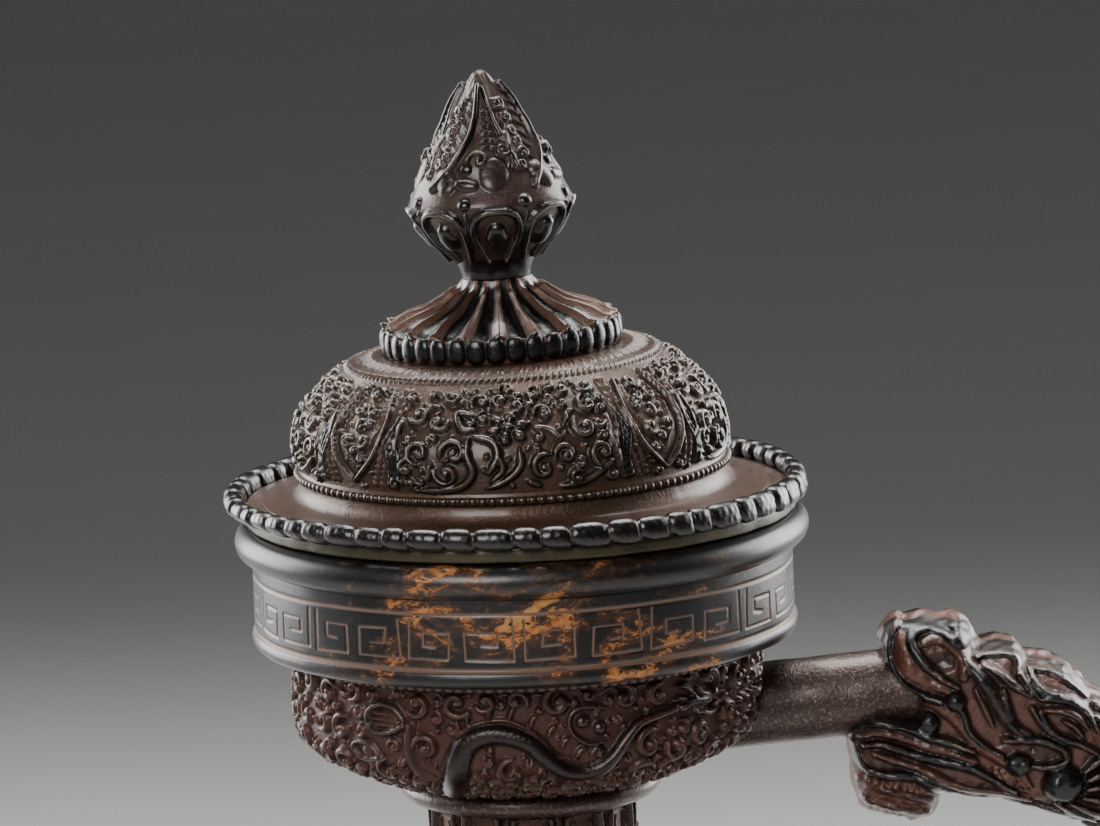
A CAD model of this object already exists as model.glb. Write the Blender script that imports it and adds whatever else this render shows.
"""The looks of a covered bronze ewer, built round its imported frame.

Lengths are millimetres until a mesh is made. Z is up, the handle is on the side of +X, the spout on
the side of -X, and the front, which faces the camera, is -Y.
"""

import logging
import math
from collections.abc import Callable, Iterable, Sequence
from dataclasses import dataclass, field
from enum import Enum

import bpy
import numpy as np
from mathutils import Matrix, Vector


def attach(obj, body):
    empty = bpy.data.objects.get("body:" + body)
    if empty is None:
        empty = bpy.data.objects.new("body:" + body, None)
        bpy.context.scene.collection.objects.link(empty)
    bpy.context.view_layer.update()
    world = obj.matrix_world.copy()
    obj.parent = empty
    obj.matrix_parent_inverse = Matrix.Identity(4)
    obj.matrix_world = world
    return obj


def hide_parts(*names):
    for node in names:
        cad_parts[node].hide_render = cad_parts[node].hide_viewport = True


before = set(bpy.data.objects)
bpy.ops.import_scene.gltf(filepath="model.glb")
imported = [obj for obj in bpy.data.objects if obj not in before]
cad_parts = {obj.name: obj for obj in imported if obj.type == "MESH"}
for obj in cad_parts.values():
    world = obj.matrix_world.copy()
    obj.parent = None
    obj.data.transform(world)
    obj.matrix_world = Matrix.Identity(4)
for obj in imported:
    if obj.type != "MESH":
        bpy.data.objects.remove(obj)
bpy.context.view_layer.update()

log = logging.getLogger("ewer")
MM = 0.001
TURN = 2 * math.pi
FRONT = -90.0
Point = tuple[float, float]
Colour = tuple[float, float, float]


class Body(Enum):
    """The two bodies of the frame."""

    VESSEL = "vessel"
    LID = "lid"


class Section(Enum):
    """How a stroke of relief is rounded across."""

    ROUND = 0.5
    SOFT = 1.0


# Shader maths.


class Sum:
    """A socket in a sum: its operators add Math nodes."""

    def __init__(self, graph: "Graph", socket: bpy.types.NodeSocket) -> None:
        """Wraps one output socket of a graph."""
        self.graph = graph
        self.socket = socket

    def _do(self, operation: str, *others: "Sum | float") -> "Sum":
        """Adds one Math node and returns its result."""
        values = {0: self}
        values.update({place: other for place, other in enumerate(others, start=1)})
        return self.graph.add("ShaderNodeMath", {"operation": operation}, values)

    def __add__(self, other: "Sum | float") -> "Sum":
        """Adds."""
        return self._do("ADD", other)

    __radd__ = __add__

    def __mul__(self, other: "Sum | float") -> "Sum":
        """Multiplies."""
        return self._do("MULTIPLY", other)

    __rmul__ = __mul__

    def __sub__(self, other: "Sum | float") -> "Sum":
        """Subtracts."""
        return self._do("SUBTRACT", other)

    def __rsub__(self, other: float) -> "Sum":
        """Subtracts this from a number."""
        return self * -1.0 + other

    def held(self) -> "Sum":
        """Keeps the value between 0 and 1."""
        return self.graph.add("ShaderNodeClamp", {}, {"Value": self})

    def step(self, low: float, high: float) -> "Sum":
        """Goes smoothly from 0 at low to 1 at high."""
        settings = {"interpolation_type": "SMOOTHSTEP"}
        return self.graph.add("ShaderNodeMapRange", settings, {"Value": self, "From Min": low,
            "From Max": high})


class Graph:
    """The nodes of one material."""

    def __init__(self, name: str) -> None:
        """Makes an empty material with its output node."""
        self.material = bpy.data.materials.new(name)
        self.material.use_nodes = True
        self.tree = self.material.node_tree
        self.tree.nodes.clear()
        self.place = self.add("ShaderNodeTexCoord", {}, {}, "Object")

    def add(self, kind: str, settings: dict[str, object], values: dict[str | int, object],
            result: str | int = 0) -> Sum:
        """Makes any node.

        Args:
            kind: the node's type.
            settings: its own settings, set first; "stops" are a ramp's places and colours.
            values: values or links for its sockets.
            result: the output that is wanted.

        Returns:
            The wanted output.
        """
        node = self.tree.nodes.new(kind)
        for key, setting in settings.items():
            if key == "stops":
                ramp = node.color_ramp.elements
                while len(ramp) < len(setting):
                    ramp.new(0.5)
                for stop, (place, colour) in zip(ramp, setting):
                    stop.position = place
                    stop.color = (*colour, 1.0)
            else:
                setattr(node, key, setting)
        for key, value in values.items():
            socket = node.inputs[key]
            if isinstance(value, Sum):
                self.tree.links.new(value.socket, socket)
            elif isinstance(value, tuple) and len(value) == 3 and len(socket.default_value) == 4:
                socket.default_value = (*value, 1.0)
            else:
                socket.default_value = value
        return Sum(self, node.outputs[result]) if len(node.outputs) else None

    def mark(self, name: str) -> Sum:
        """Reads one number that the mesh carries at its points."""
        return self.add("ShaderNodeAttribute", {"attribute_name": name}, {}, "Fac")

    def noise(self, size: float, detail: float = 4.0, rough: float = 0.55, warp: float = 0.0,
            stretch: Sequence[float] = (1, 1, 1)) -> Sum:
        """Cloudy noise whose lumps are about size millimetres across."""
        place = self.add("ShaderNodeMapping", {}, {"Vector": self.place, "Scale": Vector(stretch)})
        return self.add("ShaderNodeTexNoise", {}, {"Vector": place, "Scale": 1 / (size * MM),
            "Detail": detail, "Roughness": rough, "Distortion": warp})

    def pits(self, size: float) -> Sum:
        """Rounded cells about size millimetres across, 0 in the middle of each."""
        return self.add("ShaderNodeTexVoronoi", {}, {"Vector": self.place, "Scale": 1 / (size * MM),
            "Randomness": 1.0}, "Distance")

    def blend(self, mask: Sum | float, under: Sum | Colour, over: Sum | Colour) -> Sum:
        """Lays one colour over another by a mask."""
        return self.add("ShaderNodeMix", {"data_type": "RGBA"}, {0: mask, 6: under, 7: over}, 2)

    def ridge(self, height: Sum, depth: float, under: Sum | None = None) -> Sum:
        """Turns a height into a bent normal, over another one where it is given."""
        values = {"Height": height, "Strength": 1.0, "Distance": depth * MM}
        if under is not None:
            values["Normal"] = under
        return self.add("ShaderNodeBump", {}, values)

    def finish(self, values: dict[str | int, object]) -> bpy.types.Material:
        """Ends the material in its shader and returns it."""
        shader = self.add("ShaderNodeBsdfPrincipled", {}, values)
        self.add("ShaderNodeOutputMaterial", {}, {"Surface": shader})
        return self.material


# The finishes.


@dataclass(frozen=True)
class Patina:
    """How one bronze surface has aged, from its hollows to its rubbed edges."""

    name: str
    hollow: Colour
    ground: Colour
    raised: Colour
    rubbed: Colour
    metal: float = 0.5
    ground_rough: float = 0.5
    raised_rough: float = 0.26
    grain: float = 0.05
    grain_size: float = 0.5
    cloud: float = 0.35
    speck: Colour = (0.42, 0.13, 0.02)
    speck_share: float = 0.0
    speck_size: float = 1.6
    coat: float = 0.25

    def material(self) -> bpy.types.Material:
        """Builds the material."""
        g = Graph(self.name)
        raised, inked = g.mark("raised"), g.mark("inked")
        rubbed, sunk = g.mark("rubbed"), g.mark("sunk")
        broad, middle = g.noise(14, 3), g.noise(3.4, 6, 0.66, 0.7)
        fine, dust = g.noise(0.6, 5, 0.65), g.noise(0.16, 2, 0.5)
        patch = (broad * 0.5 + middle * 0.5).step(0.36, 0.66)
        over = (inked * 0.8 + raised * 0.4 + middle * 0.4 - 0.2).step(0.34, 0.66)
        low = (sunk + fine * 0.5 - 0.25).step(0.15, 0.85)
        tone = g.blend(patch * self.cloud, self.ground, self.raised)
        tone = g.blend(over, tone, self.raised)
        tone = g.blend(low * 0.85, tone, self.hollow)
        edge = (rubbed + middle * 0.4 - 0.2).step(0.35, 1.0)
        tone = g.blend(edge * 0.65, tone, self.rubbed)
        mottle = g.add("ShaderNodeMix", {"data_type": "RGBA", "blend_type": "MULTIPLY"},
            {0: 0.8, 6: tone, 7: g.add("ShaderNodeValToRGB", {"stops": [(0.3, (0.5, 0.5, 0.52)),
            (0.5, (0.95, 0.95, 0.95)), (0.72, (1.45, 1.4, 1.35))]}, {0: fine * 0.6 + middle * 0.4})}, 2)
        if self.speck_share:
            spots = (g.noise(self.speck_size, 4, 0.7, 0.8) + fine * 0.15).step(0.8 - self.speck_share,
                0.86 - self.speck_share)
            mottle = g.blend(spots * 0.85, mottle, self.speck)
        rough = self.ground_rough + over * (self.raised_rough - self.ground_rough)
        rough = (rough + (fine - 0.5) * 0.3 + low * 0.18 - edge * 0.06).held()
        cells = g.pits(self.grain_size)
        normal = g.ridge(dust * 0.4 + cells * 0.6 * (1.2 - over), self.grain)
        normal = g.ridge(fine, self.grain * 2.2, normal)
        return g.finish({"Base Color": mottle, "Roughness": rough, "Metallic": self.metal,
            "Normal": normal, "Coat Weight": self.coat, "Coat Roughness": 0.22})


@dataclass(frozen=True)
class WornGilt:
    """Black bronze with rubbed patches of orange and gold, thickest at the front."""

    name: str
    black: Colour = (0.006, 0.005, 0.005)
    brown: Colour = (0.055, 0.022, 0.009)
    orange: Colour = (0.34, 0.105, 0.02)
    gold: Colour = (0.42, 0.24, 0.075)
    line: Colour = (0.13, 0.072, 0.048)
    amount: float = 1.0

    def material(self) -> bpy.types.Material:
        """Builds the material."""
        g = Graph(self.name)
        front, cut, rubbed = g.mark("front"), g.mark("sunk"), g.mark("rubbed")
        broad = g.noise(15, 5, 0.6, 0.9, (1, 1, 2.1))
        flakes = g.noise(2.6, 6, 0.7, 1.0, (1, 1, 1.6))
        fine = g.noise(0.7, 6, 0.7)
        bias = front * (0.11 * self.amount)
        wear = broad * 0.62 + flakes * 0.38 + bias
        brown = wear.step(0.58, 0.66)
        orange = (wear + fine * 0.06).step(0.685, 0.715)
        gold = (wear + flakes * 0.25).step(0.80, 0.90)
        tone = g.blend(brown, self.black, self.brown)
        tone = g.blend(orange, tone, self.orange)
        tone = g.blend(gold, tone, self.gold)
        tone = g.blend((flakes + fine * 0.3).step(0.73, 0.80) * orange, tone, self.black)
        tone = g.blend((cut + fine * 0.3 - 0.15).step(0.3, 0.7), tone, self.line)
        tone = g.blend((rubbed + fine * 0.5 - 0.3).step(0.4, 1.0) * 0.5, tone, self.brown)
        rough = (0.27 + fine * 0.22 + orange * 0.16 + cut * 0.25).held()
        normal = g.ridge(orange * -0.5 + fine * 0.5 + flakes * 0.4, 0.09)
        return g.finish({"Base Color": tone, "Roughness": rough, "Metallic": 0.3 + gold * 0.4,
            "Normal": normal, "Coat Weight": 0.3, "Coat Roughness": 0.25})


@dataclass(frozen=True)
class Floor:
    """The pale floor under the ewer."""

    name: str = "pale_floor"
    tone: Colour = (0.54, 0.535, 0.52)

    def material(self) -> bpy.types.Material:
        """Builds the material."""
        g = Graph(self.name)
        cloud = g.noise(60, 3)
        tone = g.blend(cloud, self.tone, tuple(0.94 * part for part in self.tone))
        return g.finish({"Base Color": tone, "Roughness": 0.62, "Normal": g.ridge(cloud, 0.1)})


DARK = Patina("dark_patina", (0.008, 0.005, 0.004), (0.030, 0.016, 0.012), (0.010, 0.007, 0.006),
    (0.085, 0.060, 0.048), ground_rough=0.40, raised_rough=0.19, cloud=0.45, speck_share=0.012, coat=0.45)
LOTUS = Patina("lotus_patina", (0.007, 0.004, 0.003), (0.044, 0.020, 0.013), (0.008, 0.005, 0.005),
    (0.10, 0.07, 0.055), ground_rough=0.44, raised_rough=0.18, cloud=0.4, speck_share=0.03, grain=0.04,
    coat=0.4)
FLUTED = Patina("fluted_patina", (0.006, 0.004, 0.003), (0.100, 0.048, 0.028), (0.007, 0.005, 0.005),
    (0.10, 0.06, 0.045), ground_rough=0.38, raised_rough=0.18, cloud=0.3, speck_share=0.012, coat=0.4)
RED_BROWN = Patina("red_brown_patina", (0.010, 0.004, 0.003), (0.062, 0.0185, 0.0105),
    (0.014, 0.007, 0.006), (0.100, 0.048, 0.033), ground_rough=0.48, raised_rough=0.28, cloud=0.45,
    speck_share=0.02, coat=0.14)
HEAD_BROWN = Patina("head_patina", (0.011, 0.005, 0.004), (0.110, 0.040, 0.024), (0.006, 0.005, 0.005),
    (0.12, 0.07, 0.05), ground_rough=0.46, raised_rough=0.22, grain=0.08, cloud=0.5, speck_share=0.03,
    coat=0.4)
OLIVE = Patina("olive_patina", (0.010, 0.005, 0.003), (0.076, 0.036, 0.018), (0.009, 0.006, 0.005),
    (0.12, 0.080, 0.055), ground_rough=0.44, raised_rough=0.2, cloud=0.45, speck_share=0.014, coat=0.35)
SPECKLED = Patina("speckled_patina", (0.018, 0.010, 0.007), (0.058, 0.032, 0.024), (0.024, 0.014, 0.011),
    (0.14, 0.09, 0.07), ground_rough=0.34, raised_rough=0.28, grain=0.06, grain_size=0.45, cloud=1.0,
    coat=0.3, speck=(0.17, 0.105, 0.085), speck_share=0.18, speck_size=0.5)
GREENISH = Patina("greenish_brass", (0.02, 0.017, 0.006), (0.052, 0.043, 0.016), (0.02, 0.017, 0.008),
    (0.18, 0.16, 0.08), ground_rough=0.45, raised_rough=0.36, cloud=0.9)
BARE = Patina("bare_brass", (0.08, 0.055, 0.022), (0.24, 0.17, 0.075), (0.15, 0.10, 0.045),
    (0.4, 0.31, 0.17), metal=0.9, ground_rough=0.42, raised_rough=0.34, cloud=0.8, coat=0.05)
GILT = WornGilt("worn_gilt")
BLACK_ROLL = WornGilt("black_roll", amount=0.95)


# Relief.


@dataclass
class Stroke:
    """One raised stroke: its line, its half widths, and how it stands up."""

    line: np.ndarray
    widths: np.ndarray
    height: float
    ink: float = 0.5
    section: Section = Section.ROUND


def line_through(points: Iterable[Point], gap: float = 0.4) -> np.ndarray:
    """Runs a smooth line through points.

    Args:
        points: the points, in order.
        gap: the distance between the points of the result.

    Returns:
        The smooth line as rows of two or three numbers.
    """
    known = np.array(list(points), float)
    if len(known) < 3:
        parts = max(int(np.linalg.norm(known[-1] - known[0]) / gap), 1) + 1
        return np.linspace(known[0], known[-1], parts)
    ends = np.vstack([2 * known[0] - known[1], known, 2 * known[-1] - known[-2]])
    result = []
    for before, start, end, after in zip(ends, ends[1:], ends[2:], ends[3:]):
        parts = max(int(np.linalg.norm(end - start) / gap), 1)
        t = (np.arange(parts) / parts)[:, None]
        result.append(0.5 * (2 * start + (end - before) * t + (2 * before - 5 * start + 4 * end
            - after) * t ** 2 + (3 * start - before - 3 * end + after) * t ** 3))
    result.append(known[-1:])
    return np.vstack(result)


class Relief:
    """Heights on a grid that goes round a surface and along it, or over a flat drawing.

    On a flat drawing the radii are all one, so that an angle is a length.
    """

    def __init__(self, angles: np.ndarray, rows: np.ndarray, radii: np.ndarray,
            wraps: bool = True) -> None:
        """Starts a smooth surface with no relief."""
        self.angles, self.rows, self.radii, self.wraps = angles, rows, radii, wraps
        self.height = np.zeros((len(angles), len(rows)))
        self.ink = np.zeros_like(self.height)
        self.cut = np.zeros_like(self.height)
        self.tint = np.zeros_like(self.height)

    def window(self, line: np.ndarray, reach: float) -> tuple[np.ndarray, ...] | None:
        """Returns the columns, their angles and the rows that a line with this reach can touch."""
        low = int(np.searchsorted(self.rows, line[:, 1].min() - reach))
        high = int(np.searchsorted(self.rows, line[:, 1].max() + reach))
        if high <= low:
            return None
        step = self.angles[1] - self.angles[0]
        spread = reach / max(self.radii[low:high].min(), 1.0)
        first = math.floor((line[:, 0].min() - spread - self.angles[0]) / step)
        last = math.ceil((line[:, 0].max() + spread - self.angles[0]) / step)
        columns = np.arange(first, last + 1)
        angles = self.angles[0] + columns * step
        if self.wraps:
            columns = columns % len(self.angles)
        else:
            inside = (columns >= 0) & (columns < len(self.angles))
            columns, angles = columns[inside], angles[inside]
        return (columns, angles, np.arange(low, high)) if len(columns) else None

    def nearness(self, line: np.ndarray, widths: np.ndarray) -> tuple[tuple, np.ndarray] | None:
        """Returns where a line reaches on the grid, and the distance from it in half widths."""
        found = self.window(line, float(widths.max()))
        if found is None:
            return None
        columns, angles, rows = found
        radii, along = self.radii[rows], self.rows[rows]
        nearest = np.full((len(columns), len(rows)), 9.0)
        for start, end, wide, wide_end in zip(line, line[1:], widths, widths[1:]):
            middle = np.interp((start[1] + end[1]) / 2, self.rows, self.radii)
            run = np.array([(end[0] - start[0]) * middle, end[1] - start[1]])
            across = (angles[:, None] - start[0]) * radii[None, :]
            up = (along - start[1])[None, :]
            share = np.clip((across * run[0] + up * run[1]) / max(run @ run, 1e-9), 0, 1)
            gap = np.hypot(across - share * run[0], up - share * run[1])
            nearest = np.minimum(nearest, gap / np.maximum(wide + share * (wide_end - wide), 1e-3))
        return np.ix_(columns, rows), nearest

    def press(self, strokes: Iterable[Stroke]) -> None:
        """Raises strokes out of the surface."""
        for stroke in strokes:
            found = self.nearness(stroke.line, stroke.widths)
            if found is None:
                continue
            spot, gap = found
            up = stroke.height * np.clip(1 - gap ** 2, 0, 1) ** stroke.section.value
            higher = up > self.height[spot]
            self.height[spot] = np.where(higher, up, self.height[spot])
            self.ink[spot] = np.where(higher, stroke.ink, self.ink[spot])

    def engrave(self, strokes: Iterable[Stroke]) -> None:
        """Cuts strokes into the surface."""
        for stroke in strokes:
            found = self.nearness(stroke.line, stroke.widths)
            if found is None:
                continue
            spot, gap = found
            depth = np.clip(1.35 - gap, 0, 1)
            self.height[spot] -= np.maximum(depth - self.cut[spot], 0) * stroke.height
            self.cut[spot] = np.maximum(self.cut[spot], depth)

    def lay(self, raised: np.ndarray, ink: float) -> None:
        """Raises the surface to these heights wherever they are higher."""
        higher = raised > self.height
        self.height = np.where(higher, raised, self.height)
        self.ink = np.where(higher & (raised > 0), ink, self.ink)

    def roughen(self, depth: float, size: float, seed: int) -> None:
        """Adds soft, hand-made unevenness with lumps of about size millimetres."""
        dice = np.random.default_rng(seed)
        turns = self.angles[:, None] * np.ones_like(self.radii)[None, :]
        for _ in range(10):
            wave = TURN / (size * dice.uniform(0.7, 2.2))
            lean = dice.uniform(0, math.pi)
            around = round(wave * math.cos(lean) * float(self.radii.mean()))
            phase = (turns * around + self.rows[None, :] * wave * math.sin(lean) + dice.uniform(0, TURN))
            self.height += depth * 0.3 * np.sin(phase)

    def swell(self, pen: "Pen", long: float, wide: float, rise: float) -> None:
        """Lifts a low dome, long along and wide across, with all that stands on it."""
        found = self.window(np.array([[pen.angle, pen.along]]), max(long, wide))
        columns, angles, rows = found
        across = (angles[:, None] - pen.angle) * pen.radius / wide
        up = (self.rows[rows][None, :] - pen.along) / long
        self.height[np.ix_(columns, rows)] += rise * np.clip(1 - across ** 2 - up ** 2, 0, 1)

    def fill(self, low: float, high: float, sizes: Sequence[float], up: float, ink: float,
            seed: int) -> None:
        """Fills the bare ground between two rows with curls, the largest first.

        Args:
            low: the lowest row, in millimetres along the surface.
            high: the highest row.
            sizes: the curls' outer radii.
            up: how far they stand up.
            ink: how dark they are.
            seed: the seed for their places and turns.
        """
        dice = np.random.default_rng(seed)
        free = self.height < 0.22
        for size in sizes:
            reach = size * 1.02
            tries = int(900 / size)
            for angle, along in zip(dice.uniform(self.angles[0], self.angles[-1], tries),
                    dice.uniform(low + reach, high - reach, tries)):
                found = self.window(np.array([[angle, along]]), reach)
                columns, angles, rows = found
                spot = np.ix_(columns, rows)
                gap = np.hypot((angles[:, None] - angle) * self.radii[rows][None, :],
                    self.rows[rows][None, :] - along)
                if not free[spot][gap < reach].all():
                    continue
                row = int((rows[0] + rows[-1]) / 2)
                pen = Pen(angle, along, float(self.radii[row]), dice.uniform(0, TURN),
                    bool(dice.integers(2)))
                if size < 0.6:
                    self.press([pen.drop(size * 1.1, size * 0.72, up * 0.75, ink)])
                else:
                    self.press(pen.curl(size, 0, 310, 0.16 + 0.25 * size, up, ink, pearl=0.4 * size))
                free[spot] &= gap > reach

    def blurred(self, reach: int) -> np.ndarray:
        """Returns the heights after a soft blur over reach points each way."""
        result = self.height
        for axis in (0, 1):
            mode = "wrap" if self.wraps and axis == 0 else "edge"
            pad = [(reach, reach) if other == axis else (0, 0) for other in (0, 1)]
            total = np.cumsum(np.pad(result, pad, mode=mode), axis=axis)
            total = np.insert(total, 0, 0, axis=axis)
            size = 2 * reach + 1
            count = result.shape[axis]
            high = np.take(total, np.arange(size, size + count), axis=axis)
            low = np.take(total, np.arange(count), axis=axis)
            result = (high - low) / size
        return result

    def marks(self) -> dict[str, np.ndarray]:
        """Returns what the finishes read: how raised, inked, rubbed and sunk each point is."""
        top = max(float(np.percentile(self.height, 98)), 0.15)
        depth = (self.height - self.blurred(3)) / max(top * 0.35, 0.1)
        return {"raised": np.clip(self.height / top, 0, 1),
            "inked": np.maximum(self.ink * np.clip(self.height / (top * 0.4), 0, 1), self.tint),
            "rubbed": np.clip(depth, 0, 1), "sunk": np.clip(np.maximum(-depth, self.cut), 0, 1),}


@dataclass
class Pen:
    """Draws ornament round one place of a relief, in millimetres of its own."""

    angle: float
    along: float
    radius: float
    lean: float = 0.0
    mirrored: bool = False

    def put(self, line: np.ndarray) -> np.ndarray:
        """Carries a line from the pen's own place onto the relief."""
        x = -line[:, 0] if self.mirrored else line[:, 0]
        y = line[:, 1]
        c, s = math.cos(self.lean), math.sin(self.lean)
        return np.column_stack([self.angle + (x * c - y * s) / self.radius, self.along + x * s + y * c])

    def stroke(self, points: Iterable[Point], wide: float, height: float, ink: float = 0.5,
            taper: tuple[float, float] = (1, 1)) -> Stroke:
        """Draws one stroke through points, with its ends narrowed by taper."""
        line = line_through(points, 0.3)
        share = np.linspace(0, 1, len(line))
        widths = wide * np.minimum(1, np.minimum(taper[0] + share * 3, taper[1] + (1 - share) * 3))
        return Stroke(self.put(line), widths, height, ink)

    def drop(self, long: float, wide: float, height: float, ink: float = 0.6,
            section: Section = Section.ROUND) -> Stroke:
        """Draws an egg-shaped boss."""
        half = max(long - wide, 0.02)
        line = np.array([[0, -half], [0, 0], [0, half]])
        return Stroke(self.put(line), np.array([wide * 0.8, wide, wide * 0.8]), height, ink, section)

    def curl(self, radius: float, start: float, turn: float, wide: float, height: float, ink: float = 0.5,
            pearl: float = 0.0) -> list[Stroke]:
        """Draws a scroll that winds in to its eye.

        Args:
            radius: the scroll's outer radius.
            start: the direction of its outer end, in degrees.
            turn: how far it winds, in degrees, with a minus sign clockwise.
            wide: the half width of its stroke.
            height: how far it stands up.
            ink: how dark it is.
            pearl: the size of a pearl in its eye.

        Returns:
            The scroll's strokes.
        """
        share = np.linspace(0, 1, 15)
        angle = np.radians(start + turn * share)
        reach = radius * (1 - 0.72 * share ** 0.9)
        wound = list(zip(reach * np.cos(angle), reach * np.sin(angle)))
        strokes = [self.stroke(wound, wide, height, ink, (0.35, 0.7))]
        if pearl:
            strokes.append(self.drop(pearl, pearl, height * 1.15, ink))
        return strokes


# Meshes.


class Workshop:
    """Makes the pieces and keeps their materials."""

    def __init__(self) -> None:
        """Starts with no materials."""
        self.materials: dict[str, bpy.types.Material] = {}

    def finish(self, patina: Patina | WornGilt | Floor) -> bpy.types.Material:
        """Returns a finish's material, made once."""
        if patina.name not in self.materials:
            self.materials[patina.name] = patina.material()
        return self.materials[patina.name]

    def mesh(self, name: str, points: np.ndarray, faces: list[list[int]],
            marks: dict[str, np.ndarray] | None = None) -> bpy.types.Object:
        """Makes a smooth mesh object.

        Args:
            name: the piece's name.
            points: its points in millimetres.
            faces: the corners of its faces.
            marks: numbers at its points that the finishes read.

        Returns:
            The object, in metres.
        """
        data = bpy.data.meshes.new(name)
        data.from_pydata((points * MM).tolist(), [], faces)
        data.polygons.foreach_set("use_smooth", np.ones(len(data.polygons), bool))
        for key, values in (marks or {}).items():
            data.attributes.new(key, "FLOAT", "POINT").data.foreach_set("value",
                np.ascontiguousarray(values, np.float32))
        data.update()
        made = bpy.data.objects.new(name, data)
        bpy.context.scene.collection.objects.link(made)
        return made

    def skin(self, name: str, points: np.ndarray, marks: dict[str, np.ndarray],
            closed: bool) -> bpy.types.Object:
        """Joins rings of points into a skin.

        Args:
            name: the piece's name.
            points: the points, by place round the ring, by ring.
            marks: numbers at the points, in the same order.
            closed: whether the last ring joins the first; otherwise the ends are filled.

        Returns:
            The object.
        """
        around, rings = points.shape[:2]
        here = np.arange(around * rings).reshape(around, rings)
        there = np.roll(here, -1, axis=0)
        last = rings if closed else rings - 1
        up = [(ring + 1) % rings for ring in range(last)]
        quads = np.stack([here[:, :last], there[:, :last], there[:, up], here[:, up]], axis=-1)
        faces = quads.reshape(-1, 4).tolist()
        if not closed:
            faces += [here[::-1, 0].tolist(), here[:, -1].tolist()]
        flat = {key: values.reshape(-1) for key, values in marks.items()}
        return self.mesh(name, points.reshape(-1, 3), faces, flat)

    def settle(self, piece: bpy.types.Object, patina: Patina | WornGilt, node: str,
            slot: str = "brown_bronze", body: Body = Body.VESSEL) -> None:
        """Dresses a piece, sets it on its body and lets it stand for a node, if one is named."""
        piece.data.materials.clear()
        piece.data.materials.append(self.finish(patina))
        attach(piece, body.value)
        if node:
            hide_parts(node)
        log.info("%s: %d points on %s", piece.name, len(piece.data.vertices), body.value)


def arc(centre: Point, radius: float, start: float, end: float, parts: int = 12) -> list[Point]:
    """Returns points on an arc from one direction to another, in degrees."""
    angles = np.radians(np.linspace(start, end, parts + 1))
    return [(centre[0] + radius * math.cos(a), centre[1] + radius * math.sin(a)) for a in angles]


def curve(*points: Point) -> list[Point]:
    """Returns a smooth outline through points."""
    return [tuple(point) for point in line_through(points, 0.5)]


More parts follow.
